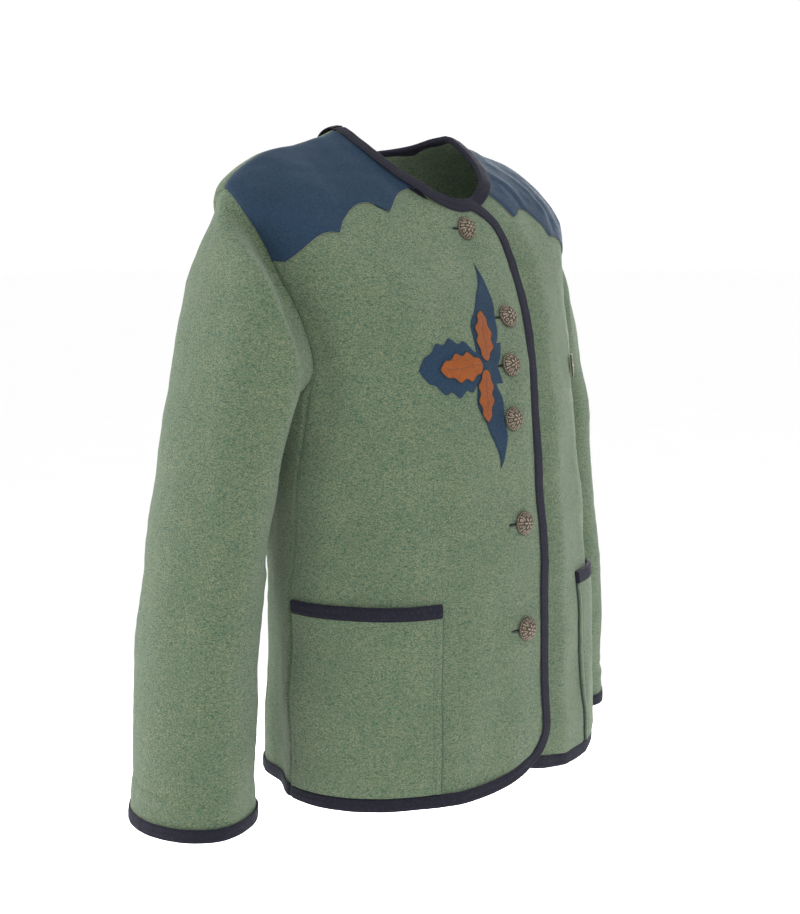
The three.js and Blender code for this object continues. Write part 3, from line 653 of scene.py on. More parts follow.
def on_sleeve(side, phi, along):
    """The same for a sleeve, whose head follows the body's relief at the armhole."""
    phi, along = np.broadcast_arrays(np.asarray(phi, float), np.asarray(along, float))
    point, normal = sleeve(side, phi, along), sleeve_outward(side, phi, along)
    own = normal * relief(point, SLEEVE_LINES[side])[..., None]
    edge = armhole(side, phi)
    joined = outward(*edge) * body_relief(*edge)[..., None]
    return point + mix(joined, own, ease(along, -1, SLEEVE_FREE)[..., None]), normal


# ---------- meshes ----------


def new_piece(name, points, faces, uv=None):
    """A smooth mesh object from points in millimetres. uv gives millimetres at each point."""
    tri = np.array([(f[0], f[1], f[2]) for f in faces])
    rest = np.array([(f[0], f[2], f[3]) for f in faces if len(f) == 4]).reshape(-1, 3)
    tri = np.concatenate([tri, rest]).astype(int)
    a, b, c = (points[tri[:, k]] for k in range(3))
    if (a * np.cross(b, c)).sum() < 0:
        faces = [tuple(reversed(f)) for f in faces]
    mesh = bpy.data.meshes.new(name)
    mesh.from_pydata((points * MM).tolist(), [], [tuple(map(int, f)) for f in faces])
    if uv is not None:
        layer = mesh.uv_layers.new(name="cloth")
        loops = np.zeros(len(mesh.loops), int)
        mesh.loops.foreach_get("vertex_index", loops)
        layer.data.foreach_set("uv", (uv[loops] * MM).astype(np.float32).ravel())
    piece = bpy.data.objects.new(name, mesh)
    bpy.context.scene.collection.objects.link(piece)
    smooth(piece, 50)
    return piece


def smooth(piece, degrees):
    """Smooth shading, with creases sharper than the angle kept sharp."""
    select(piece)
    bpy.ops.object.shade_smooth_by_angle(angle=math.radians(degrees))


def grid_faces(rows, columns, start=0, closed=False):
    """Quads of a grid of points. A closed grid's rows run round."""
    steps = columns if closed else columns - 1
    r, c = np.meshgrid(np.arange(rows - 1), np.arange(steps), indexing="ij")
    after = (c + 1) % columns
    quads = np.stack([r * columns + c, r * columns + after, (r + 1) * columns + after,
                      (r + 1) * columns + c], axis=-1)
    return quads.reshape(-1, 4) + start


def shell(name, points, normals, outer, inner, closed=False):
    """A wall between two distances from a grid of points."""
    rows, columns = points.shape[:2]
    outer = np.broadcast_to(outer, points.shape[:2])[..., None]
    inner = np.broadcast_to(inner, points.shape[:2])[..., None]
    verts = np.concatenate([(points + normals * outer).reshape(-1, 3),
                            (points + normals * inner).reshape(-1, 3)])
    half = rows * columns
    faces = [grid_faces(rows, columns, 0, closed),
             grid_faces(rows, columns, half, closed)[:, ::-1]]
    index = np.arange(half).reshape(rows, columns)
    rims = [(index[0][::-1], closed), (index[-1], closed)]
    if not closed:
        rims += [(index[:, 0], False), (index[:, -1][::-1], False)]
    for rim, ring in rims:
        after = np.roll(rim, -1) if ring else rim[1:]
        here = rim if ring else rim[:-1]
        faces.append(np.stack([after, here, here + half, after + half], axis=-1))
    uv = np.stack([distance_along(points, 1), distance_along(points, 0)], axis=-1).reshape(-1, 2)
    faces = [tuple(f) for group in faces for f in group]
    return new_piece(name, verts, faces, np.concatenate([uv, uv]))


def sweep(name, points, normals, section, closed=False):
    """A section of [out, past] carried along an edge, past being away from the cloth."""
    count, width = len(points), len(section)
    if closed:
        ahead = np.roll(points, -1, axis=0) - np.roll(points, 1, axis=0)
    else:
        ahead = np.gradient(points, axis=0)
    along = unit(ahead)
    past = unit(np.cross(along, normals))
    out, beyond = section[:, 0], section[:, 1]
    verts = (points[:, None] + normals[:, None] * out[None, :, None]
             + past[:, None] * beyond[None, :, None])
    travel = distance_along(points)
    girth = np.linalg.norm(np.diff(section, axis=0, append=section[:1]), axis=1)
    around = np.concatenate([[0], girth.cumsum()[:-1]])
    uv = np.stack(np.broadcast_arrays(travel[:, None], around[None, :]), axis=-1)
    faces = []
    for i in range(count if closed else count - 1):
        a, b = i * width, (i + 1) % count * width
        for k in range(width):
            following = (k + 1) % width
            faces.append((a + k, a + following, b + following, b + k))
    for base in () if closed else (0, (count - 1) * width):
        for k in range(width // 2 - 1):
            quad = (base + k, base + k + 1, base + width - 2 - k, base + width - 1 - k)
            faces.append(quad if base else quad[::-1])
    return new_piece(name, verts.reshape(-1, 3), faces, uv.reshape(-1, 2))


def patch(name, outlines, place, low, high, spacing):
    """A flat shape, the union of outlines in a plane, laid on the worn cloth."""
    outlines = [resampled(np.array(outline), spacing * 0.8) for outline in outlines]
    everything = np.concatenate(outlines)
    lower, upper = everything.min(0), everything.max(0)
    xs = np.arange(lower[0], upper[0], spacing)
    ys = np.arange(lower[1], upper[1], spacing * 0.87)
    gx, gy = np.meshgrid(xs, ys)
    gx = gx + (np.arange(len(ys)) % 2 * spacing / 2)[:, None]
    inner = np.stack([gx.ravel(), gy.ravel()], axis=-1)
    keep = np.zeros(len(inner), bool)
    clear = np.ones(len(inner), bool)
    for outline in outlines:
        keep |= inside(inner, outline)
        clear &= distance_to(inner, outline) > spacing * 0.45
    inner = inner[keep & clear]
    verts = np.concatenate(outlines + [inner])
    edges, start = [], 0
    faces = []
    for outline in outlines:
        count = len(outline)
        edges += [(start + k, start + (k + 1) % count) for k in range(count)]
        faces.append(list(range(start, start + count)))
        start += count
    found = delaunay_2d_cdt([Vector(v) for v in verts], edges, faces, 1, 1e-5)
    flat = np.array([tuple(v) for v in found[0]])
    tris = np.array([tuple(f) for f in found[2] if len(f) == 3])
    used, tris = np.unique(tris, return_inverse=True)
    flat, tris = flat[used], tris.reshape(-1, 3)
    sides = np.sort(np.concatenate([tris[:, [0, 1]], tris[:, [1, 2]], tris[:, [2, 0]]]), axis=1)
    pairs, times = np.unique(sides, axis=0, return_counts=True)
    border = {tuple(pair) for pair in pairs[times == 1]}
    rim = np.array([(a, b) for t in tris for a, b in ((t[0], t[1]), (t[1], t[2]), (t[2], t[0]))
                    if (min(a, b), max(a, b)) in border])
    away = distance_to_edges(flat, flat[rim[:, 0]], flat[rim[:, 1]])
    points, normals = place(flat[:, 0], flat[:, 1])
    top = points + normals * (low + (high - low) * fullness(away, 1.6))[:, None]
    bottom = points + normals * low
    count = len(flat)
    walls = [(a, b, b + count, a + count) for a, b in rim]
    faces = ([tuple(t) for t in tris] + [tuple(t[::-1] + count) for t in tris]
             + [w[::-1] for w in walls])
    return new_piece(name, np.concatenate([top, bottom]), faces, np.concatenate([flat, flat]))


def resampled(outline, step):
    """A closed outline with points about a step apart, its own corners kept."""
    points = []
    for a, b in zip(outline, np.roll(outline, -1, axis=0)):
        count = max(1, int(round(np.linalg.norm(b - a) / step)))
        points += [mix(a, b, k / count) for k in range(count)]
    return np.array(points)


def inside(points, outline):
    """Which points lie inside a closed outline."""
    result = np.zeros(len(points), bool)
    for a, b in zip(outline, np.roll(outline, -1, axis=0)):
        crosses = (a[1] > points[:, 1]) != (b[1] > points[:, 1])
        height = b[1] - a[1] if b[1] != a[1] else 1e-12
        x = a[0] + (points[:, 1] - a[1]) / height * (b[0] - a[0])
        result ^= crosses & (points[:, 0] < x)
    return result


def distance_to_edges(points, starts, ends):
    best = np.full(len(points), np.inf)
    for a, b in zip(starts, ends):
        ab = b - a
        t = np.clip((points - a) @ ab / max(ab @ ab, 1e-12), 0, 1)
        best = np.minimum(best, np.linalg.norm(points - a - t[:, None] * ab, axis=1))
    return best


def distance_to(points, outline):
    return distance_to_edges(points, outline, np.roll(outline, -1, axis=0))


def stand_for(piece, node):
    """Puts a piece on the jacket's body and hides the part it stands for."""
    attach(piece, "root")
    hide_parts(node)


def dress(piece, finish, node):
    """Gives a piece its finish, puts it on the jacket's body and hides the part it stands for."""
    piece.data.materials.append(finish_of(finish))
    stand_for(piece, node)


# ---------- materials ----------


class Finish:
    """A material built node by node round its principled shader."""

    def __init__(self, name, **inputs):
        self.material = bpy.data.materials.new(name)
        self.material.use_nodes = True
        self.nodes = self.material.node_tree.nodes
        self.links = self.material.node_tree.links
        self.shader = self.nodes["Principled BSDF"]
        self.set(self.shader, inputs)

    def set(self, node, inputs):
        for key, value in inputs.items():
            socket = node.inputs[key]
            if isinstance(value, bpy.types.NodeSocket):
                self.links.new(value, socket)
            else:
                socket.default_value = value

    def add(self, kind, inputs=None, **settings):
        node = self.nodes.new("ShaderNode" + kind)
        for key, value in settings.items():
            setattr(node, key, value)
        self.set(node, inputs or {})
        return node

    def place(self, scale=(1, 1, 1), uv=False):
        """Object coordinates, or the cloth's own, stretched by scale."""
        source = self.add("TexCoord").outputs["UV" if uv else "Object"]
        return self.add("Mapping", {"Vector": source, "Scale": scale}).outputs["Vector"]

    def noise(self, vector, scale, detail=2.0, roughness=0.5):
        node = self.add("TexNoise", {"Vector": vector, "Scale": scale, "Detail": detail,
                                     "Roughness": roughness})
        return node.outputs["Fac"]

    def band(self, value, low, high):
        """0 below low and 1 above high."""
        node = self.add("MapRange", {"Value": value, "From Min": low, "From Max": high})
        return node.outputs["Result"]

    def math(self, kind, a, b):
        return self.add("Math", {0: a, 1: b}, operation=kind).outputs[0]

    def blend(self, factor, a, b, kind="MIX"):
        node = self.add("Mix", {0: factor, 6: a, 7: b}, data_type="RGBA", blend_type=kind)
        return node.outputs[2]

    def bump(self, height, strength, distance, normal=None):
        inputs = {"Height": height, "Strength": strength, "Distance": distance}
        if normal is not None:
            inputs["Normal"] = normal
        return self.add("Bump", inputs).outputs["Normal"]

    def finish(self, colour, normal):
        self.set(self.shader, {"Base Color": colour, "Normal": normal})
        return self.material


def rgb(colour):
    return (*colour[:3], 1.0)


def loden(colours):
    """Felted wool, heathered in fine threads that lie across the cloth, with a short nap."""
    f = Finish("green loden", **{"Roughness": 0.92, "Specular IOR Level": 0.18,
                                 "Sheen Weight": 0.32, "Sheen Roughness": 0.45,
                                 "Sheen Tint": (0.86, 0.93, 0.84, 1)})
    flat = f.place((1, 1, 2.3))
    near = f.place((1, 1, 1.5))
    patches = f.band(f.noise(flat, 200, 5, 0.7), 0.40, 0.60)
    threads = f.band(f.noise(flat, 520, 3, 0.65), 0.44, 0.60)
    flecks = f.band(f.noise(near, 800, 2, 0.6), 0.54, 0.65)
    clouds = f.band(f.noise(f.place((1, 1, 1.4)), 24, 3, 0.55), 0.38, 0.66)
    base = f.blend(patches, rgb(colours.loden_deep), rgb(colours.loden))
    base = f.blend(f.math("MULTIPLY", threads, 0.62), base, rgb(colours.loden_pale))
    base = f.blend(f.math("MULTIPLY", flecks, 0.4), base, rgb(colours.loden_fleck))
    base = f.blend(f.math("MULTIPLY", clouds, 0.15), base, rgb(colours.loden_deep))
    rib = f.add("TexWave", {"Vector": f.place(), "Scale": 215, "Distortion": 2.6, "Detail": 2.0,
                            "Detail Scale": 60.0}, bands_direction="Z")
    nap = f.math("ADD", f.noise(near, 1300, 3, 0.7), f.math("MULTIPLY", threads, 0.5))
    height = f.math("ADD", nap, f.math("MULTIPLY", rib.outputs["Fac"], 0.28))
    return f.finish(base, f.bump(height, 0.75, 0.0006))


def felt(name, colour, other, depth=0.6):
    """Smooth felted cloth with a fine uneven face."""
    f = Finish(name, **{"Roughness": 0.88, "Specular IOR Level": 0.2, "Sheen Weight": 0.22,
                        "Sheen Roughness": 0.4, "Sheen Tint": (0.8, 0.88, 1, 1)})
    mottle = f.band(f.noise(f.place((1, 1, 1.6)), 380, 4, 0.65), 0.34, 0.68)
    clouds = f.band(f.noise(f.place(), 28, 3, 0.5), 0.3, 0.7)
    base = f.blend(f.math("MULTIPLY", mottle, 0.6), rgb(colour), rgb(other))
    base = f.blend(f.math("MULTIPLY", clouds, 0.18), base, (0.01, 0.012, 0.015, 1))
    height = f.noise(f.place((1, 1, 1.4)), 1500, 3, 0.7)
    return f.finish(base, f.bump(height, depth, 0.0005))


def braid(colours):
    """Folded wool tape, braided in two slants that meet along its middle."""
    f = Finish("navy tape", **{"Roughness": 0.85, "Specular IOR Level": 0.2,
                               "Sheen Weight": 0.08, "Sheen Roughness": 0.4,
                               "Sheen Tint": (0.75, 0.72, 0.95, 1)})
    split = f.add("SeparateXYZ", {0: f.place(uv=True)})
    along, across = split.outputs[0], split.outputs[1]
    row = f.math("PINGPONG", across, 0.0028)
    slant = f.math("ADD", along, row)
    ply = f.math("SINE", f.math("MULTIPLY", slant, 2 * math.pi / 0.0021), 0)
    ply = f.band(ply, -1, 1)
    fuzz = f.noise(f.place(), 900, 3, 0.7)
    glints = f.band(f.noise(f.place(), 420, 3, 0.6), 0.5, 0.72)
    # Painted shade: the hollows between the plies are darkened towards the ply shade colour.
    base = f.blend(f.math("MULTIPLY", ply, 0.6), rgb(colours.ply_shade_and_dark_thread), rgb(colours.tape))
    base = f.blend(f.math("MULTIPLY", glints, 0.35), base, rgb(colours.tape_glint))
    height = f.math("ADD", f.math("MULTIPLY", ply, 0.9), fuzz)
    return f.finish(base, f.bump(height, 0.8, 0.0006))


def silver(name, colour, roughness, dark):
    """Cast metal with tarnish stains. The darker copy, on a piece's base, is tarnish and painted
    shade in the hollows.
    """
    f = Finish(name, **{"Metallic": 1.0, "Roughness": roughness})
    stain = f.band(f.noise(f.place(), 700, 4, 0.65), 0.38, 0.66)
    base = f.blend(f.math("MULTIPLY", stain, 0.75), rgb(colour), rgb(dark))
    height = f.noise(f.place(), 1600, 3, 0.6)
    return f.finish(base, f.bump(height, 0.35, 0.0003))


def thread(name, colour):
    f = Finish(name, **{"Roughness": 0.6, "Sheen Weight": 0.2})
    base = f.blend(f.noise(f.place(), 1200, 2, 0.5), rgb(colour), (0.01, 0.01, 0.01, 1))
    return f.finish(base, f.bump(f.noise(f.place(), 2600, 2, 0.5), 0.4, 0.0002))


def paper():
    f = Finish("stage", **{"Roughness": 0.9, "Specular IOR Level": 0.1})
    base = f.blend(f.noise(f.place(), 3, 2, 0.5), (0.95, 0.95, 0.95, 1), (0.97, 0.97, 0.97, 1))
    return f.finish(base, f.bump(f.noise(f.place(), 60, 2, 0.5), 0.05, 0.0005))


FINISHES = {}


def finish_of(name):
    """A named finish, made when it is first asked for."""
    if name not in FINISHES:
        colours = bpy.context.scene.jacket_colours
        make = {
            "loden": lambda: loden(colours),
            "blue": lambda: felt("blue felt", colours.blue, colours.blue_light),
            "rust": lambda: felt("rust felt", colours.rust, colours.rust_light, 0.9),
            "tape": lambda: braid(colours),
            # The base of a metal piece: tarnish and painted shade in the hollows round its raised
            # work.
            "tarnished and shaded silver": lambda: silver("tarnished and shaded silver", colours.silver_tarnish_and_shade, 0.5,
                                          (0.03, 0.026, 0.022)),
            "bright silver": lambda: silver("bright silver", colours.silver, 0.3,
                                            (0.16, 0.13, 0.1)),
            "dark thread": lambda: thread("dark thread", colours.ply_shade_and_dark_thread),
            "green thread": lambda: thread("green thread", colours.loden_deep),
            "rust thread": lambda: thread("rust thread", [part * 0.45 for part in colours.rust]),
            "sand thread": lambda: thread("sand thread", colours.loden_fleck),
            "paper": paper,
        }
        FINISHES[name] = make[name]()
    return FINISHES[name]


# ---------- panels ----------


def near_edge(length, step):
    """Distances from an edge, close together in the first few millimetres."""
    count = int((length - EDGE_ZONE) / step)
    return np.concatenate([EDGE_STEPS, np.linspace(EDGE_ZONE + 0.2, length, count)])


def near_both_edges(half, step):
    """Shares of twice a half breadth, close together at both of its ends."""
    close = near_edge(half, step) / (2 * half)
    return np.unique(np.concatenate([close, 1 - close]))


def rising(count):
    """Levels from the hem to the underarm, close together at the hem."""
    even = np.linspace(EVEN_FROM, UNDERARM_LEVEL, count)
    return np.concatenate([near_edge(12, 3) / LEVEL_RISE, even])


def side_edge(facing):
    """The level and angle of a panel's side edge from hem to neck."""
    seam, corner = ("seam_front", FRONT_CORNER) if facing > 0 else ("seam_back", BACK_CORNER)
    level = rising(118)[:-1]
    angle = seam_angle(level, seam, corner)
    arm_angle, arm_level = armhole(1, facing * np.linspace(UNDERSIDE[0], 0, 72))
    high = np.linspace(TIP_LEVEL, NECK_LEVEL, 52)[1:]
    levels = np.concatenate([level, arm_level, high])
    angles = np.concatenate([angle, arm_angle, np.full(len(high), SHOULDER)])
    return levels, angles - facing * seam_gap(levels)


def front_places(side, steps):
    """Angles and levels of a front, from its side edge to its bound front edge."""
    levels, angles = side_edge(1)
    rise = CORNER_RISE * quarter((steps - CORNER_FROM) / (1 - CORNER_FROM))
    drop = TOP_DROP * quarter((steps - TOP_FROM) / (1 - TOP_FROM))
    level = np.broadcast_to(levels[:, None], (len(levels), len(steps)))
    low = mix(rise[None], CORNER_LEVEL, level / CORNER_LEVEL)
    level = np.where(level < CORNER_LEVEL, low, level)
    above = (level - TIP_LEVEL) / (NECK_LEVEL - TIP_LEVEL)
    level = np.where(above > 0, mix(TIP_LEVEL, NECK_LEVEL - drop[None], above), level)
    return side * mix(angles[:, None], -between(RINGS["edge"], level), steps[None]), level


def front_steps():
    """Steps from a front's side edge to its bound edge, close together at both."""
    close = near_edge(FRONT_BREADTH, 2.5) / FRONT_BREADTH
    return np.unique(np.concatenate([close, 1 - np.array([0.002, 0.006, 0.012]), [1]]))


def front_grid(side):
    return on_body(*front_places(side, front_steps()), side)


def back_grid():
    levels, angles = side_edge(-1)
    steps = near_both_edges(BACK_HALF, 2.7)[None]
    angle = mix(angles[:, None], 360 - angles[:, None], steps)
    return on_body(angle, np.broadcast_to(levels[:, None], angle.shape))


def side_grid(side):
    part = near_both_edges(PANEL_HALF, 2.6)
    level = rising(130)[:, None]
    top_angle, top_level = armhole(1, mix(*UNDERSIDE, part))
    low = seam_angle(level, "seam_front", FRONT_CORNER) + seam_gap(level)
    high = seam_angle(level, "seam_back", BACK_CORNER) - seam_gap(level)
    first, last = ARMHOLE["angle"][FRONT_CORNER], ARMHOLE["angle"][BACK_CORNER]
    straight = mix(low, high, part[None])
    flaring = mix(low, high, (top_angle - first) / (last - first))
    angle = side * mix(straight, flaring, ease(level, FLARE_FROM, UNDERARM_LEVEL))
    sag = np.maximum(level - SAG_FROM, 0) / (UNDERARM_LEVEL - SAG_FROM)
    return on_body(angle, level - sag * (UNDERARM_LEVEL - top_level))


def sleeve_stations():
    """Stations from the armhole to the cuff, close together at the armhole."""
    head = np.array([0, 0.6, 1.2, 2, 3, 4.2, 6, 8.5]) / HEAD_LENGTH - 1
    return np.concatenate([head, np.linspace(-0.92, -0.03, 34), np.linspace(0, CUFF, 170)])


def sleeve_grid(side):
    phi = np.arange(0, 360, 360 / 132)[None]
    return on_sleeve(side, phi, sleeve_stations()[:, None])


# ---------- bindings ----------


def tape_section():
    """The folded tape's section: down the outside, round the cloth's edge, up the inside."""
    outer, inner = FIT_OUT + TAPE, -CLOTH - FIT_IN - TAPE
    middle = (outer + inner) / 2
    points = [(FIT_OUT + 0.1, -LEG), (FIT_OUT + 0.75, -LEG - 0.25), (outer - 0.1, -LEG + 0.35)]
    for part in (0.15, 0.35, 0.55, 0.75, 0.9):
        points.append((outer + 0.28 * math.sin(math.pi * part), -LEG * (1 - part)))
    for turn in np.radians((90, 60, 30, 0, -30, -60, -90)):
        points.append((middle + (outer - middle) * math.sin(turn), outer * math.cos(turn)))
    points += [(inner, -LEG * 0.3), (inner, -LEG * 0.65), (inner, -LEG)]
    points += [(inner + TAPE, -LEG), (inner + TAPE, -LEG * 0.5), (inner + TAPE, 0)]
    points += [(middle + 0.8, FIT_OUT), (FIT_OUT - 0.1, FIT_OUT - 0.1)]
    points += [(FIT_OUT, -LEG * 0.4), (FIT_OUT, -LEG * 0.75)]
    return np.array(points)


def lengthened(points, extra):
    """The line with its two ends carried on, so that joined tapes leave no gap."""
    first = points[0] + unit(points[0] - points[2]) * extra
    last = points[-1] + unit(points[-1] - points[-3]) * extra
    return np.concatenate([first[None], points[1:-1], last[None]])


def front_edge(grid, side):
    """A front's bound edge: along the hem, round the corner, up the edge and round the neck."""
    path = np.concatenate([grid[0][:-1], grid[:-1, -1], grid[-1][::-1]])
    return path if side < 0 else path[::-1]


# ---------- operators ----------


class PieceOperator(bpy.types.Operator):
    """Common base, which hands the jacket's sizes to the operator's make."""

    bl_options = {"REGISTER", "UNDO"}

    def execute(self, context):
        self.make(context.scene.jacket_sizes)
        return {"FINISHED"}


class JACKET_OT_body(PieceOperator):
    """Back, side panels and fronts, with the buttonholes cut"""

    bl_idname = "jacket.body"
    bl_label = "Body panels"

    def make(self, sizes):
        wall = sizes.cloth / MM
        back = shell("cloth_back", *back_grid(), 0, -wall)
        dress(back, "loden", "back")
        for side, word in SIDES:
            panel = shell(f"cloth_side_{word}", *side_grid(side), 0, -wall)
            dress(panel, "loden", f"side_{word}")
            front = shell(f"cloth_front_{word}", *front_grid(side), 0, -wall)
            dress(front, "loden", f"front_{word}")
            if side < 0:
                cut_buttonholes(front)


def spot_at(x, z, side=0):
    """A spot on the worn cloth and its directions across, upwards and outwards."""
    point, normal = on_body(*find_place(x, z), side)
    across = unit(np.cross((0, 0, 1), normal))
    return point, across, np.cross(normal, across), normal


def cut_buttonholes(front):
    """Cuts a straight slit behind every button."""
    blades = []
    for x, z in BUTTONS:
        point, across, up, normal = spot_at(x, z)
        select()
        bpy.ops.mesh.primitive_cube_add(size=1)
        blade = bpy.context.object
        long = (HOLE_TO_SIDE + HOLE_TO_EDGE) * MM
        middle = point + across * (HOLE_TO_EDGE - HOLE_TO_SIDE) / 2
        shape = Matrix((across * long, up * HOLE_SLIT * MM, normal * BLADE_DEPTH * MM))
        blade.data.transform(Matrix.Translation(middle * MM) @ shape.transposed().to_4x4())
        blades.append(blade)
    cutter = join(blades, "blades")
    bpy.context.view_layer.objects.active = front
    modifier = front.modifiers.new("buttonholes", "BOOLEAN")
    modifier.operation = "DIFFERENCE"
    modifier.solver = "EXACT"
    modifier.object = cutter
    bpy.ops.object.modifier_apply(modifier=modifier.name)
    bpy.data.objects.remove(cutter)


class JACKET_OT_sleeves(PieceOperator):
    """Set-in sleeves"""

    bl_idname = "jacket.sleeves"
    bl_label = "Sleeves"

    def make(self, sizes):
        for side, word in SIDES:
            piece = shell(f"cloth_sleeve_{word}", *sleeve_grid(side), 0, -sizes.cloth / MM, True)
            dress(piece, "loden", f"sleeve_{word}")


class JACKET_OT_bindings(PieceOperator):
    """Folded tape round the front edges, neck, hem and cuffs"""

    bl_idname = "jacket.bindings"
    bl_label = "Bindings"

    def make(self, sizes):
        section = tape_section()
        for side, word in SIDES:
            points, normals = front_grid(side)
            piece = sweep(f"tape_front_{word}", front_edge(points, side),
                          front_edge(normals, side), section)
            dress(piece, "tape", f"binding_front_{word}")
            points, normals = sleeve_grid(side)
            turn = slice(None) if side < 0 else slice(None, None, -1)
            piece = sweep(f"tape_cuff_{word}", points[-1][turn], normals[-1][turn], section, True)
            dress(piece, "tape", f"binding_cuff_{word}")
        back = back_grid()
        left, right = side_grid(1), side_grid(-1)
        hem = [np.concatenate([left[k][0][:-1], back[k][0][1:-1], right[k][0][::-1][1:]])
               for k in (0, 1)]
        piece = sweep("tape_hem_back", lengthened(hem[0], TAPE_RUN_ON), hem[1], section)
        dress(piece, "tape", "binding_hem_back")
        line, normals = back[0][-1][::-1], back[1][-1][::-1]
        line = lengthened(line + normals * NECK_TAPE_LIFT, TAPE_RUN_ON)
        piece = sweep("tape_neck_back", line, normals, section)
        dress(piece, "tape", "binding_neck_back")


def yoke_places(side):
    """Angles and levels of a yoke: rows from its scalloped edge to the shoulder seam."""
    xs, zs = [], []
    cusps = list(zip(*YOKE_CUSPS.values()))
    for (x, z, _), (next_x, next_z, rise) in zip(cusps, cusps[1:]):
        count = max(6, int(math.dist((x, z), (next_x, next_z)) / 2))
        t = np.arange(count) / count
        xs += list(mix(x, next_x, t))
        zs += list(mix(z, next_z, t) + rise * np.sin(math.pi * t))
    xs.append(cusps[-1][0])
    zs.append(cusps[-1][1])
    angle, level = find_place(np.array(xs), np.array(zs))
    bottom = np.stack([angle, level], axis=-1)
    travel = np.concatenate([[0], np.hypot(np.diff(xs), np.diff(zs)).cumsum()])
    s = (travel / travel[-1])[:, None]
    t = near_edge(YOKE_DEPTH, 2.4)[:, None] / YOKE_DEPTH
    neck = NECK_LEVEL - (TAPE_WIDTH + 0.4) / NECK_LEVEL_RISE
    bottom[-1, 1] = min(bottom[-1, 1], neck - 0.15)
    seam = SHOULDER - YOKE_GAP
    inner_angle = np.linspace(bottom[-1, 0], seam, len(t))
    inner_level = mix(bottom[-1, 1], neck, ease(t[:, 0], 0, 0.3))
    inner = np.stack([inner_angle, inner_level], axis=-1)
    turns = np.linspace(0, UNDERSIDE[0], 400)
    arm_angle, arm_level = armhole(1, turns)
    start = np.interp(bottom[0, 1], arm_level[::-1], turns[::-1])
    arm = np.stack(armhole(1, mix(start, 0, t[:, 0])), axis=-1)
    arm[:, 0] -= YOKE_GAP
    bottom[0] = arm[0]
    seam_level = mix(arm[-1, 1], inner[-1, 1], s[:, 0])
    top = np.stack([np.full(len(s), seam), seam_level], axis=-1)
    bottom, top = bottom[None], top[None]
    arm, inner = arm[:, None], inner[:, None]
    s, t = s[None], t[:, None]
    corners = ((1 - s) * (1 - t) * bottom[:, :1] + s * (1 - t) * bottom[:, -1:]
               + (1 - s) * t * top[:, :1] + s * t * top[:, -1:])
    place = (1 - t) * bottom + t * top + (1 - s) * arm + s * inner - corners
    return side * place[..., 0], place[..., 1]


def rounded(points, axis, both=False, radius=1.5):
    """How full a layer is near its first edge along one axis, or near both."""
    travel = away = distance_along(points, axis)
    if both:
        away = np.minimum(travel, np.take(travel, [-1], axis=axis) - travel)
    return fullness(away, radius)


class JACKET_OT_yokes(PieceOperator):
    """Scalloped blue yokes laid on the fronts"""

    bl_idname = "jacket.yokes"
    bl_label = "Yokes"

    def make(self, sizes):
        for side, word in SIDES:
            points, normals = on_body(*yoke_places(side), side)
            outer = LIFT + FELT * rounded(points, 0)
            piece = shell(f"felt_yoke_{word}", points, normals, outer, LIFT)
            dress(piece, "blue", f"yoke_{word}")


def on_pocket(side, u, z):
    """The worn cloth under a pocket, u millimetres along it towards the front."""
    turn = side * POCKET_TURN
    return on_body(*find_place(-side * u, z, turn, turn), side)


def pocket_swell(part, z):
    """How far a pocket stands off between its edges, more towards its mouth."""
    mouth = ease(z, POCKET_TOP - POCKET_SWELL_DEPTH, POCKET_TOP)
    return np.sin(math.pi * part) * mouth * POCKET_SWELL


def pocket_grid(side, low, high, rows):
    """A stretch of the pocket between two heights over its breadth."""
    part = near_both_edges(POCKET_HALF, 2.6)[None]
    z = mix(low, high, rows)[:, None]
    points, normals = on_pocket(side, mix(POCKET_BACK, POCKET_FRONT, part), z)
    return points + normals * pocket_swell(part, z)[..., None], normals


class JACKET_OT_pockets(PieceOperator):
    """Patch pockets with their bound mouths"""

    bl_idname = "jacket.pockets"
    bl_label = "Pockets"

    def make(self, sizes):
        bottom = RINGS["z"][0] + LEG + 0.8
        top = POCKET_TOP - POCKET_BAND - LIFT
        height = top - bottom
        rows = near_edge(height, 2.6) / height
        band_rows = np.array([0, 0.05, 0.12, 0.22, 0.35, 0.5, 0.65, 0.78, 0.88, 0.95, 1])
        for side, word in SIDES:
            points, normals = pocket_grid(side, bottom, top, rows)
            full = rounded(points, 1, True, 1.2) * rounded(points, 0, False, 0.6)
            outer = LIFT + POCKET_RAISE * full
            mirrored = distance_along(points[:, ::-1], 1)[:, ::-1]
            edge = np.minimum(distance_along(points, 1), mirrored)
            outer = outer - np.exp(-((edge - POCKET_STITCH_IN) / 1.3) ** 2)
            piece = shell(f"cloth_pocket_{word}", points, normals, outer, LIFT)
            dress(piece, "loden", f"pocket_{word}")
            points, normals = pocket_grid(side, top + LIFT, POCKET_TOP, band_rows)
            full = rounded(points, 0, True, 2.6) * rounded(points, 1, True, 1.2)
            outer = LIFT + (POCKET_RAISE + TAPE) * full
            piece = shell(f"tape_pocket_{word}", points, normals, outer, LIFT)
            dress(piece, "tape", f"pocket_binding_{word}")


def leaf_outline(values):
    """A leaf from its foot, sharpest where skew is low and lobed all round."""
    leaf = dict(zip(LEAF_COLUMNS, values))
    t = np.linspace(0, 1, 61)
    full = np.maximum(np.sin(math.pi * t ** leaf["skew"]), 0) ** leaf["blunt"]
    ripple = np.cos(2 * math.pi * leaf["waves"] * t - 0.6)
    half = leaf["wide"] / 2 * full * (1 - leaf["lobe"] + leaf["lobe"] * ripple)
    run = leaf["start"] + t * leaf["long"]
    lean = leaf["bend"] * t ** 2 * np.sin(math.pi * t)
    x = np.concatenate([lean + half, (lean - half)[-2:0:-1]])
    z = np.concatenate([run, run[-2:0:-1]])
    c, s = math.cos(math.radians(leaf["turn"])), math.sin(math.radians(leaf["turn"]))
    return np.stack([MOTIF[0] + x * c - z * s, MOTIF[1] + x * s + z * c], axis=-1)


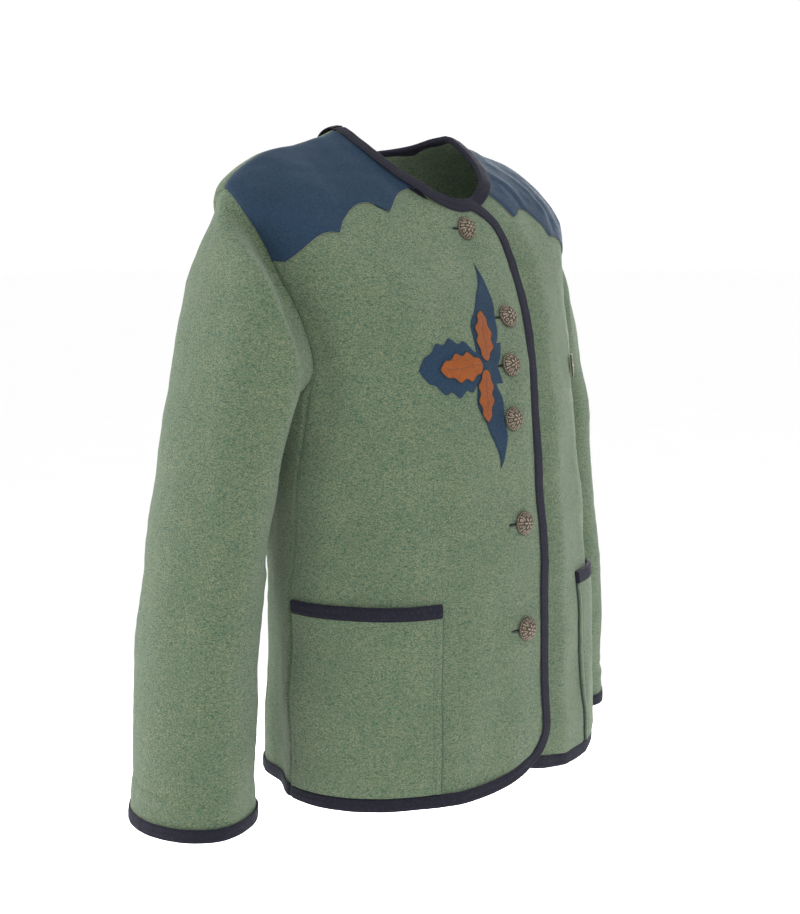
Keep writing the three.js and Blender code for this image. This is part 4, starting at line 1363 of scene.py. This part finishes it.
class JACKET_OT_motif(PieceOperator):
    """Blue ground and three rust leaves on the right chest"""

    bl_idname = "jacket.motif"
    bl_label = "Leaf motif"

    def make(self, sizes):
        def place(x, z):
            return on_body(*find_place(x, z))

        outlines = [leaf_outline(values) for values in GROUND]
        ground = patch("felt_motif_ground", outlines, place, LIFT, LIFT + FELT, 1.6)
        dress(ground, "blue", "motif_ground")
        low = LIFT + FELT + LIFT
        for name, values in LEAVES.items():
            leaf = patch(f"felt_leaf_{name}", [leaf_outline(values)], place, low,
                         low + LEAF_CLOTH, 1.2)
            dress(leaf, "rust", f"motif_leaf_{name}")


# ---------- metal ----------


def select_flat(piece, height):
    """Selects the face that lies level at a height, in edit mode."""
    bpy.ops.object.mode_set(mode="OBJECT")
    for face in piece.data.polygons:
        level = abs(face.center.z - height) < 1e-6 and abs(face.normal.z) > 0.99
        face.select = level
    for edge in piece.data.edges:
        edge.select = False
    for vertex in piece.data.vertices:
        vertex.select = False
    for face in piece.data.polygons:
        if face.select:
            for k in face.vertices:
                piece.data.vertices[k].select = True
    bpy.ops.object.mode_set(mode="EDIT")
    bpy.ops.mesh.select_mode(type="FACE")


def raise_face(dz, scale):
    """Extrudes the selected face upwards and sizes it."""
    bpy.ops.mesh.extrude_region_move(TRANSFORM_OT_translate={"value": (0, 0, dz)})
    bpy.ops.transform.resize(value=(scale[0], scale[1], 1))


def dome_point(radius, rise, rim, lean, turn):
    """A point of a dome, lean degrees from its top, and its frame: outwards, round and up."""
    a, b = math.radians(lean), math.radians(turn)
    side = Vector((math.cos(b), math.sin(b), 0))
    point = side * radius * math.sin(a) + Vector((0, 0, rim + rise * math.cos(a)))
    normal = (side * math.sin(a) / radius + Vector((0, 0, math.cos(a) / rise))).normalized()
    around = Vector((-math.sin(b), math.cos(b), 0))
    return point, Matrix((around.cross(normal), around, normal)).transposed()


def set_down(kind, point, turn, size):
    """Adds a bead or scroll of a size at a point, its own place in its mesh."""
    if kind == "bead":
        bpy.ops.mesh.primitive_uv_sphere_add(segments=10, ring_count=6, radius=MM)
    else:
        bpy.ops.mesh.primitive_torus_add(major_segments=14, minor_segments=6,
                                         major_radius=MM, minor_radius=0.3 * MM)
    piece = bpy.context.object
    piece.data.transform(Matrix.Translation(point) @ turn.to_4x4() @ Matrix.Diagonal((*size, 1)))
    return piece


def join(pieces, name):
    """Makes one named piece of several."""
    select(*pieces)
    bpy.ops.object.join()
    pieces[0].name = name
    pieces[0].data.name = name
    return pieces[0]


def model_button(sizes):
    """A domed head facing +Z with petals, scrolls and a beaded rim, on its shank."""
    radius, rise, rim = sizes.button_radius, sizes.button_rise, BUTTON_RIM * MM
    select()
    bpy.ops.mesh.primitive_circle_add(vertices=48, radius=radius - MM, fill_type="NGON")
    head = bpy.context.object
    bpy.ops.object.mode_set(mode="EDIT")
    bpy.ops.mesh.select_all(action="SELECT")
    width = radius - MM
    height = 0.0
    profile = [(radius, rim / 2), (radius - 0.3 * MM, rim * 0.85), (radius - 0.9 * MM, rim)]
    dome = radius - 1.2 * MM
    profile += [(dome * math.cos(math.radians(a)), rim + rise * math.sin(math.radians(a)))
                for a in range(8, 89, 8)]
    for next_width, next_height in profile:
        scale = next_width / width
        raise_face(next_height - height, (scale, scale))
        width, height = next_width, next_height
    select_flat(head, 0)
    bpy.ops.mesh.inset(thickness=radius - MM - sizes.shank_radius)
    bpy.ops.mesh.extrude_region_move(
        TRANSFORM_OT_translate={"value": (0, 0, -(UNDERLAP + 0.4) * MM)})
    bpy.ops.object.mode_set(mode="OBJECT")
    raised = []
    for kind, count, first, lean, size in BUTTON_RELIEF:
        for k in range(count):
            point, turn = dome_point(dome, rise, rim, lean, k * 360 / count + first)
            raised.append(set_down(kind, point, turn, size))
    return join_metal(head, raised, "button")


def join_metal(base, raised, name):
    """Joins a dark base and its bright raised parts, and shades them. The base's darkness is
    tarnish and painted shade in the hollows round the raised work.
    """
    raised = join(raised, f"{name}_relief")
    for piece in (base, raised):
        piece.data.materials.append(finish_of("tarnished and shaded silver"))
        piece.data.materials.append(finish_of("bright silver"))
    for face in raised.data.polygons:
        face.material_index = 1
    whole = join([base, raised], name)
    smooth(whole, 40)
    return whole


def frame_at(x, z, side, lift):
    """The matrix that puts a piece facing +Z on the worn cloth at x and z."""
    point, across, up, normal = spot_at(x, z, side)
    turn = Matrix((across, up, normal)).transposed().to_4x4()
    return Matrix.Translation((point + normal * lift) * MM) @ turn


class JACKET_OT_buttons(PieceOperator):
    """Six domed metal buttons with a generic relief of petals and scrolls"""

    bl_idname = "jacket.buttons"
    bl_label = "Buttons"

    def make(self, sizes):
        master = model_button(sizes)
        for number, (x, z) in enumerate(BUTTONS, 1):
            piece = bpy.data.objects.new(f"metal_button_{number}", master.data.copy())
            bpy.context.scene.collection.objects.link(piece)
            turned = Matrix.Rotation(math.radians(BUTTON_TURN * number), 4, "Z")
            piece.data.transform(frame_at(x, z, -1, BUTTON_LIFT) @ turned)
            stand_for(piece, f"button_{number}")
        bpy.data.objects.remove(master)


class JACKET_OT_ornament(PieceOperator):
    """Small oval metal ornament on the left chest"""

    bl_idname = "jacket.ornament"
    bl_label = "Chest ornament"

    def make(self, sizes):
        wide, high = (half * MM for half in ORNAMENT_HALF)
        thick = ORNAMENT_THICK * MM
        select()
        bpy.ops.mesh.primitive_circle_add(vertices=48, radius=1, fill_type="NGON")
        plate = bpy.context.object
        plate.data.transform(Matrix.Diagonal((wide - 0.7 * MM, high - 0.7 * MM, 1, 1)))
        bpy.ops.object.mode_set(mode="EDIT")
        bpy.ops.mesh.select_all(action="SELECT")
        raise_face(thick * 0.3, (1.08, 1.05))
        raise_face(thick * 0.35, (0.97, 0.98))
        bpy.ops.mesh.inset(thickness=1.2 * MM)
        raise_face(-thick * 0.25, (0.96, 0.96))
        raise_face(thick * 0.3, (0.5, 0.5))
        bpy.ops.object.mode_set(mode="OBJECT")
        raised = []

        def drop(x, y, size, turn=0.0):
            rotation = Matrix.Rotation(turn, 3, "Z")
            raised.append(set_down("bead", Vector((x, y, thick * 0.62)), rotation, size))

        for k in range(ORNAMENT_PETALS):
            a = 2 * math.pi * (k + 0.5) / ORNAMENT_PETALS
            drop(4.0 * MM * math.cos(a), 6.4 * MM * math.sin(a), (1.5, 0.7, 0.6), a)
        drop(0, 0, (1.8, 2.8, 0.9))
        for k in range(ORNAMENT_BEADS):
            a = 2 * math.pi * k / ORNAMENT_BEADS
            drop((wide - 1.3 * MM) * math.cos(a), (high - 1.3 * MM) * math.sin(a),
                 (0.6, 0.6, 0.7))
        piece = join_metal(plate, raised, "metal_chest_ornament")
        piece.data.transform(frame_at(*ORNAMENT, 1, ORNAMENT_LIFT))
        stand_for(piece, "chest_ornament")


# ---------- stitches ----------


def stitch_shape():
    """One short stitch along +X: a capsule with a slight arch."""
    points, rings = [], ((-1, 0.25), (-0.75, 0.8), (0, 1), (0.75, 0.8), (1, 0.25))
    for x, full in rings:
        for turn in range(6):
            a = math.radians(60 * turn)
            points.append((x, math.cos(a) * full, math.sin(a) * full + 0.35 * (1 - x * x)))
    faces = [(r * 6 + k, r * 6 + (k + 1) % 6, (r + 1) * 6 + (k + 1) % 6, (r + 1) * 6 + k)
             for r in range(4) for k in range(6)]
    faces += [tuple(range(5, -1, -1)), tuple(range(24, 30))]
    return np.array(points), faces


def stitches(kind, name, points, normals):
    """Equal stitches of one kind along a line of points, joined in one mesh."""
    pitch, long, thick, sink, material, slot = STITCHES[kind]
    travel = distance_along(points)
    at = np.arange(pitch / 2, travel[-1], pitch)
    centres = np.stack([np.interp(at, travel, points[:, k]) for k in range(3)], axis=-1)
    ups = unit(np.stack([np.interp(at, travel, normals[:, k]) for k in range(3)], axis=-1))
    ahead = np.stack([np.interp(at, travel, np.gradient(points[:, k], travel))
                      for k in range(3)], axis=-1)
    along = unit(ahead - ups * (ahead * ups).sum(-1, keepdims=True))
    across = np.cross(ups, along)
    shape, faces = stitch_shape()
    shape = shape * (long / 2, thick / 2, thick / 2)
    verts = (centres[:, None] - ups[:, None] * sink + along[:, None] * shape[None, :, :1]
             + across[:, None] * shape[None, :, 1:2] + ups[:, None] * shape[None, :, 2:])
    every = [tuple(k + i * len(shape) for k in face) for i in range(len(at)) for face in faces]
    piece = new_piece(name, verts.reshape(-1, 3), every)
    piece.data.materials.append(finish_of(material))
    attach(piece, "root")


class JACKET_OT_stitching(PieceOperator):
    """Stitches of the pockets, yokes and leaves, and thread round the buttonholes, with dark lines
    of painted shadow at the pockets' side edges and round the leaves
    """

    bl_idname = "jacket.stitching"
    bl_label = "Stitching"

    def make(self, sizes):
        self.pockets()
        self.buttonholes()
        self.yokes()
        self.leaves()

    def yokes(self):
        for side, word in SIDES:
            points, normals = on_body(*yoke_places(side), side)
            edge = points[0] + normals[0] * (LIFT + FELT * 0.3)
            stitches("yoke", f"stitches_yoke_{word}", edge, normals[0])

    def leaves(self):
        height = 2 * LIFT + FELT + LEAF_CLOTH * 0.4
        for name, values in LEAVES.items():
            outline = resampled(leaf_outline(values), 0.5)
            outline = np.concatenate([outline, outline[:1]])
            points, normals = on_body(*find_place(outline[:, 0], outline[:, 1]))
            # Dark stitches on each leaf's edge: its stitching, and a line of painted shadow round
            # it.
            stitches("leaf", f"stitches_and_shadow_leaf_{name}", points + normals * height, normals)
            turn, foot = math.radians(values[0]), values[3]
            run = np.linspace(foot + 3, foot + values[1] - 5, 60)
            sway = 0.8 * np.sin(run / 7)
            x = MOTIF[0] + sway * math.cos(turn) - run * math.sin(turn)
            z = MOTIF[1] + sway * math.sin(turn) + run * math.cos(turn)
            points, normals = on_body(*find_place(x, z))
            top = 2 * LIFT + FELT + LEAF_CLOTH
            stitches("vein", f"vein_leaf_{name}", points + normals * top, normals)

    def pockets(self):
        bottom = RINGS["z"][0] + LEG + 2
        top = POCKET_TOP - POCKET_BAND - 1
        z = np.linspace(bottom, top, 90)
        for side, word in SIDES:
            for edge, end, inwards in (("back", POCKET_BACK, POCKET_STITCH_IN),
                                       ("front", POCKET_FRONT, -POCKET_STITCH_IN)):
                part = (end + inwards - POCKET_BACK) / (POCKET_FRONT - POCKET_BACK)
                points, normals = on_pocket(side, end + inwards, z)
                height = pocket_swell(part, z) + LIFT + POCKET_RAISE - POCKET_STITCH_DEPTH
                stitches("pocket", f"stitches_pocket_{edge}_{word}",
                         points + normals * height[:, None], normals)
                # Painted shadow: a dark thread line along each side edge of the pocket.
                points, normals = on_pocket(side, end, z)
                stitches("pocket shadow line", f"shadow_line_pocket_{edge}_{word}",
                         points + normals * POCKET_SHADOW_LINE_LIFT, normals)

    def buttonholes(self):
        for number, (x, z) in enumerate(BUTTONS, 1):
            point, across, up, normal = spot_at(x, z)
            middle = (HOLE_TO_EDGE - HOLE_TO_SIDE) / 2
            half = (HOLE_TO_EDGE + HOLE_TO_SIDE) / 2
            t = np.linspace(0, 2 * math.pi, 90)
            ring_x = middle + (half + 0.7) * np.sign(np.cos(t)) * np.abs(np.cos(t)) ** 0.35
            ring_y = 1.25 * np.sin(t)
            ring = point + ring_x[:, None] * across + ring_y[:, None] * up
            ring = ring + normal * surface_drop(ring)[:, None]
            normals = np.broadcast_to(normal, ring.shape)
            stitches("buttonhole", f"thread_buttonhole_{number}", ring, normals)


def surface_drop(points):
    """How far the worn cloth lies before points near the front, along -Y."""
    surface, _ = on_body(*find_place(points[:, 0], points[:, 2]))
    return points[:, 1] - surface[:, 1]


# ---------- stage ----------


class JACKET_OT_stage(PieceOperator):
    """Pale floor and backdrop, soft lights and the camera"""

    bl_idname = "jacket.stage"
    bl_label = "Stage"

    def make(self, sizes):
        self.backdrop()
        self.lights()
        self.camera()

    def backdrop(self):
        select()
        bpy.ops.mesh.primitive_plane_add(size=1)
        floor = bpy.context.object
        floor.name = "floor"
        breadth = Matrix.Diagonal((FLOOR_BREADTH, FLOOR_BREADTH, 1, 1))
        floor.data.transform(Matrix.Translation((0, 0, FLOOR_LEVEL)) @ breadth)
        floor.data.materials.append(finish_of("paper"))
        world = bpy.data.worlds.new("studio")
        world.use_nodes = True
        background = world.node_tree.nodes["Background"]
        background.inputs["Color"].default_value = (1, 1, 1, 1)
        background.inputs["Strength"].default_value = WORLD_STRENGTH
        bpy.context.scene.world = world
        bpy.context.scene.view_settings.view_transform = "Standard"

    def lights(self):
        for name, place, size, power in LIGHTS:
            bpy.ops.object.light_add(type="AREA", location=place)
            light = bpy.context.object
            light.name = name
            light.data.size = size
            light.data.energy = power
            aim = Vector(LIGHTS_AIM) - Vector(place)
            light.rotation_euler = aim.to_track_quat("-Z", "Y").to_euler()

    def camera(self):
        bpy.ops.object.camera_add(location=CAMERA_PLACE)
        camera = bpy.context.object
        turn, down = math.radians(CAMERA_TURN), math.radians(CAMERA_DOWN)
        aim = Vector((math.sin(turn) * math.cos(down), math.cos(turn) * math.cos(down),
                      -math.sin(down)))
        camera.rotation_euler = aim.to_track_quat("-Z", "Y").to_euler()
        camera.data.lens = CAMERA_LENS
        camera.data.sensor_width = CAMERA_SENSOR
        bpy.context.scene.camera = camera


# ---------- settings, panel and registration ----------


def length(name, description, default):
    return bpy.props.FloatProperty(name=name, description=description, default=default,
                                   min=0.0, unit="LENGTH", subtype="DISTANCE", precision=5)


def colour(name, description, default):
    return bpy.props.FloatVectorProperty(name=name, description=description, default=default,
                                         size=3, min=0.0, max=1.0, subtype="COLOR")


BUTTON_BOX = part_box("button_4")


class JacketSizes(bpy.types.PropertyGroup):
    cloth: length("Loden", "Thickness of the loden", CLOTH * MM)
    button_radius: length("Button radius", "Radius of a button's rim",
                          round((BUTTON_BOX[1][2] - BUTTON_BOX[0][2]) / 2, 4))
    button_rise: length("Button rise", "Height of a button's dome over its rim", 0.0062)
    shank_radius: length("Shank radius", "Radius of a button's shank", 0.0018)


class JacketColours(bpy.types.PropertyGroup):
    loden: colour("Loden", "Middle green of the loden", (0.094, 0.154, 0.094))
    loden_deep: colour("Loden, deep", "Teal fibres in the loden", (0.03, 0.092, 0.058))
    loden_pale: colour("Loden, pale", "Pale fibres in the loden", (0.25, 0.268, 0.165))
    loden_fleck: colour("Loden, flecks", "Sand-coloured flecks in the loden", (0.42, 0.375, 0.225))
    blue: colour("Blue", "Felt of the yokes and the motif's ground", (0.012, 0.03, 0.058))
    blue_light: colour("Blue, light", "Paler fibres in the blue felt", (0.028, 0.062, 0.105))
    rust: colour("Rust", "Felt of the leaves", (0.235, 0.06, 0.012))
    rust_light: colour("Rust, light", "Paler fibres in the rust felt", (0.37, 0.11, 0.028))
    tape: colour("Tape", "Navy of the binding", (0.017, 0.018, 0.034))
    # Painted shade in the hollows of the binding's braid, and the colour of the dark thread.
    ply_shade_and_dark_thread: colour("Tape, ply shade and dark thread", "Painted shade in the hollows between the binding's plies, and the dark thread", (0.008, 0.008, 0.014))
    tape_glint: colour("Tape, glint", "Loose fibres on the binding", (0.05, 0.045, 0.07))
    silver: colour("Silver", "Raised metal", (0.4, 0.34, 0.265))
    # Tarnish and painted shade in the hollows of the metal.
    silver_tarnish_and_shade: colour("Silver, tarnish and shade", "Tarnished metal, and painted shade in its hollows", (0.11, 0.09, 0.07))


OPERATORS = (
    JACKET_OT_body, JACKET_OT_sleeves, JACKET_OT_bindings, JACKET_OT_yokes, JACKET_OT_pockets,
    JACKET_OT_motif, JACKET_OT_buttons, JACKET_OT_ornament, JACKET_OT_stitching,
    JACKET_OT_stage,
)


class JACKET_PT_pieces(bpy.types.Panel):
    bl_label = "Loden jacket"
    bl_idname = "JACKET_PT_pieces"
    bl_space_type = "VIEW_3D"
    bl_region_type = "UI"
    bl_category = "Jacket"

    def draw(self, context):
        for settings in (context.scene.jacket_sizes, context.scene.jacket_colours):
            for name in settings.bl_rna.properties.keys():
                if name not in ("rna_type", "name"):
                    self.layout.prop(settings, name)
        for operator in OPERATORS:
            self.layout.operator(operator.bl_idname)


CLASSES = (JacketSizes, JacketColours, *OPERATORS, JACKET_PT_pieces)


def register():
    for item in CLASSES:
        bpy.utils.register_class(item)
    bpy.types.Scene.jacket_sizes = bpy.props.PointerProperty(type=JacketSizes)
    bpy.types.Scene.jacket_colours = bpy.props.PointerProperty(type=JacketColours)


def unregister():
    del bpy.types.Scene.jacket_colours
    del bpy.types.Scene.jacket_sizes
    for item in reversed(CLASSES):
        bpy.utils.unregister_class(item)


def main():
    register()
    bpy.ops.jacket.body()
    bpy.ops.jacket.sleeves()
    bpy.ops.jacket.bindings()
    bpy.ops.jacket.yokes()
    bpy.ops.jacket.pockets()
    bpy.ops.jacket.motif()
    bpy.ops.jacket.buttons()
    bpy.ops.jacket.ornament()
    bpy.ops.jacket.stitching()
    bpy.ops.jacket.stage()


if __name__ == "__main__":
    main()
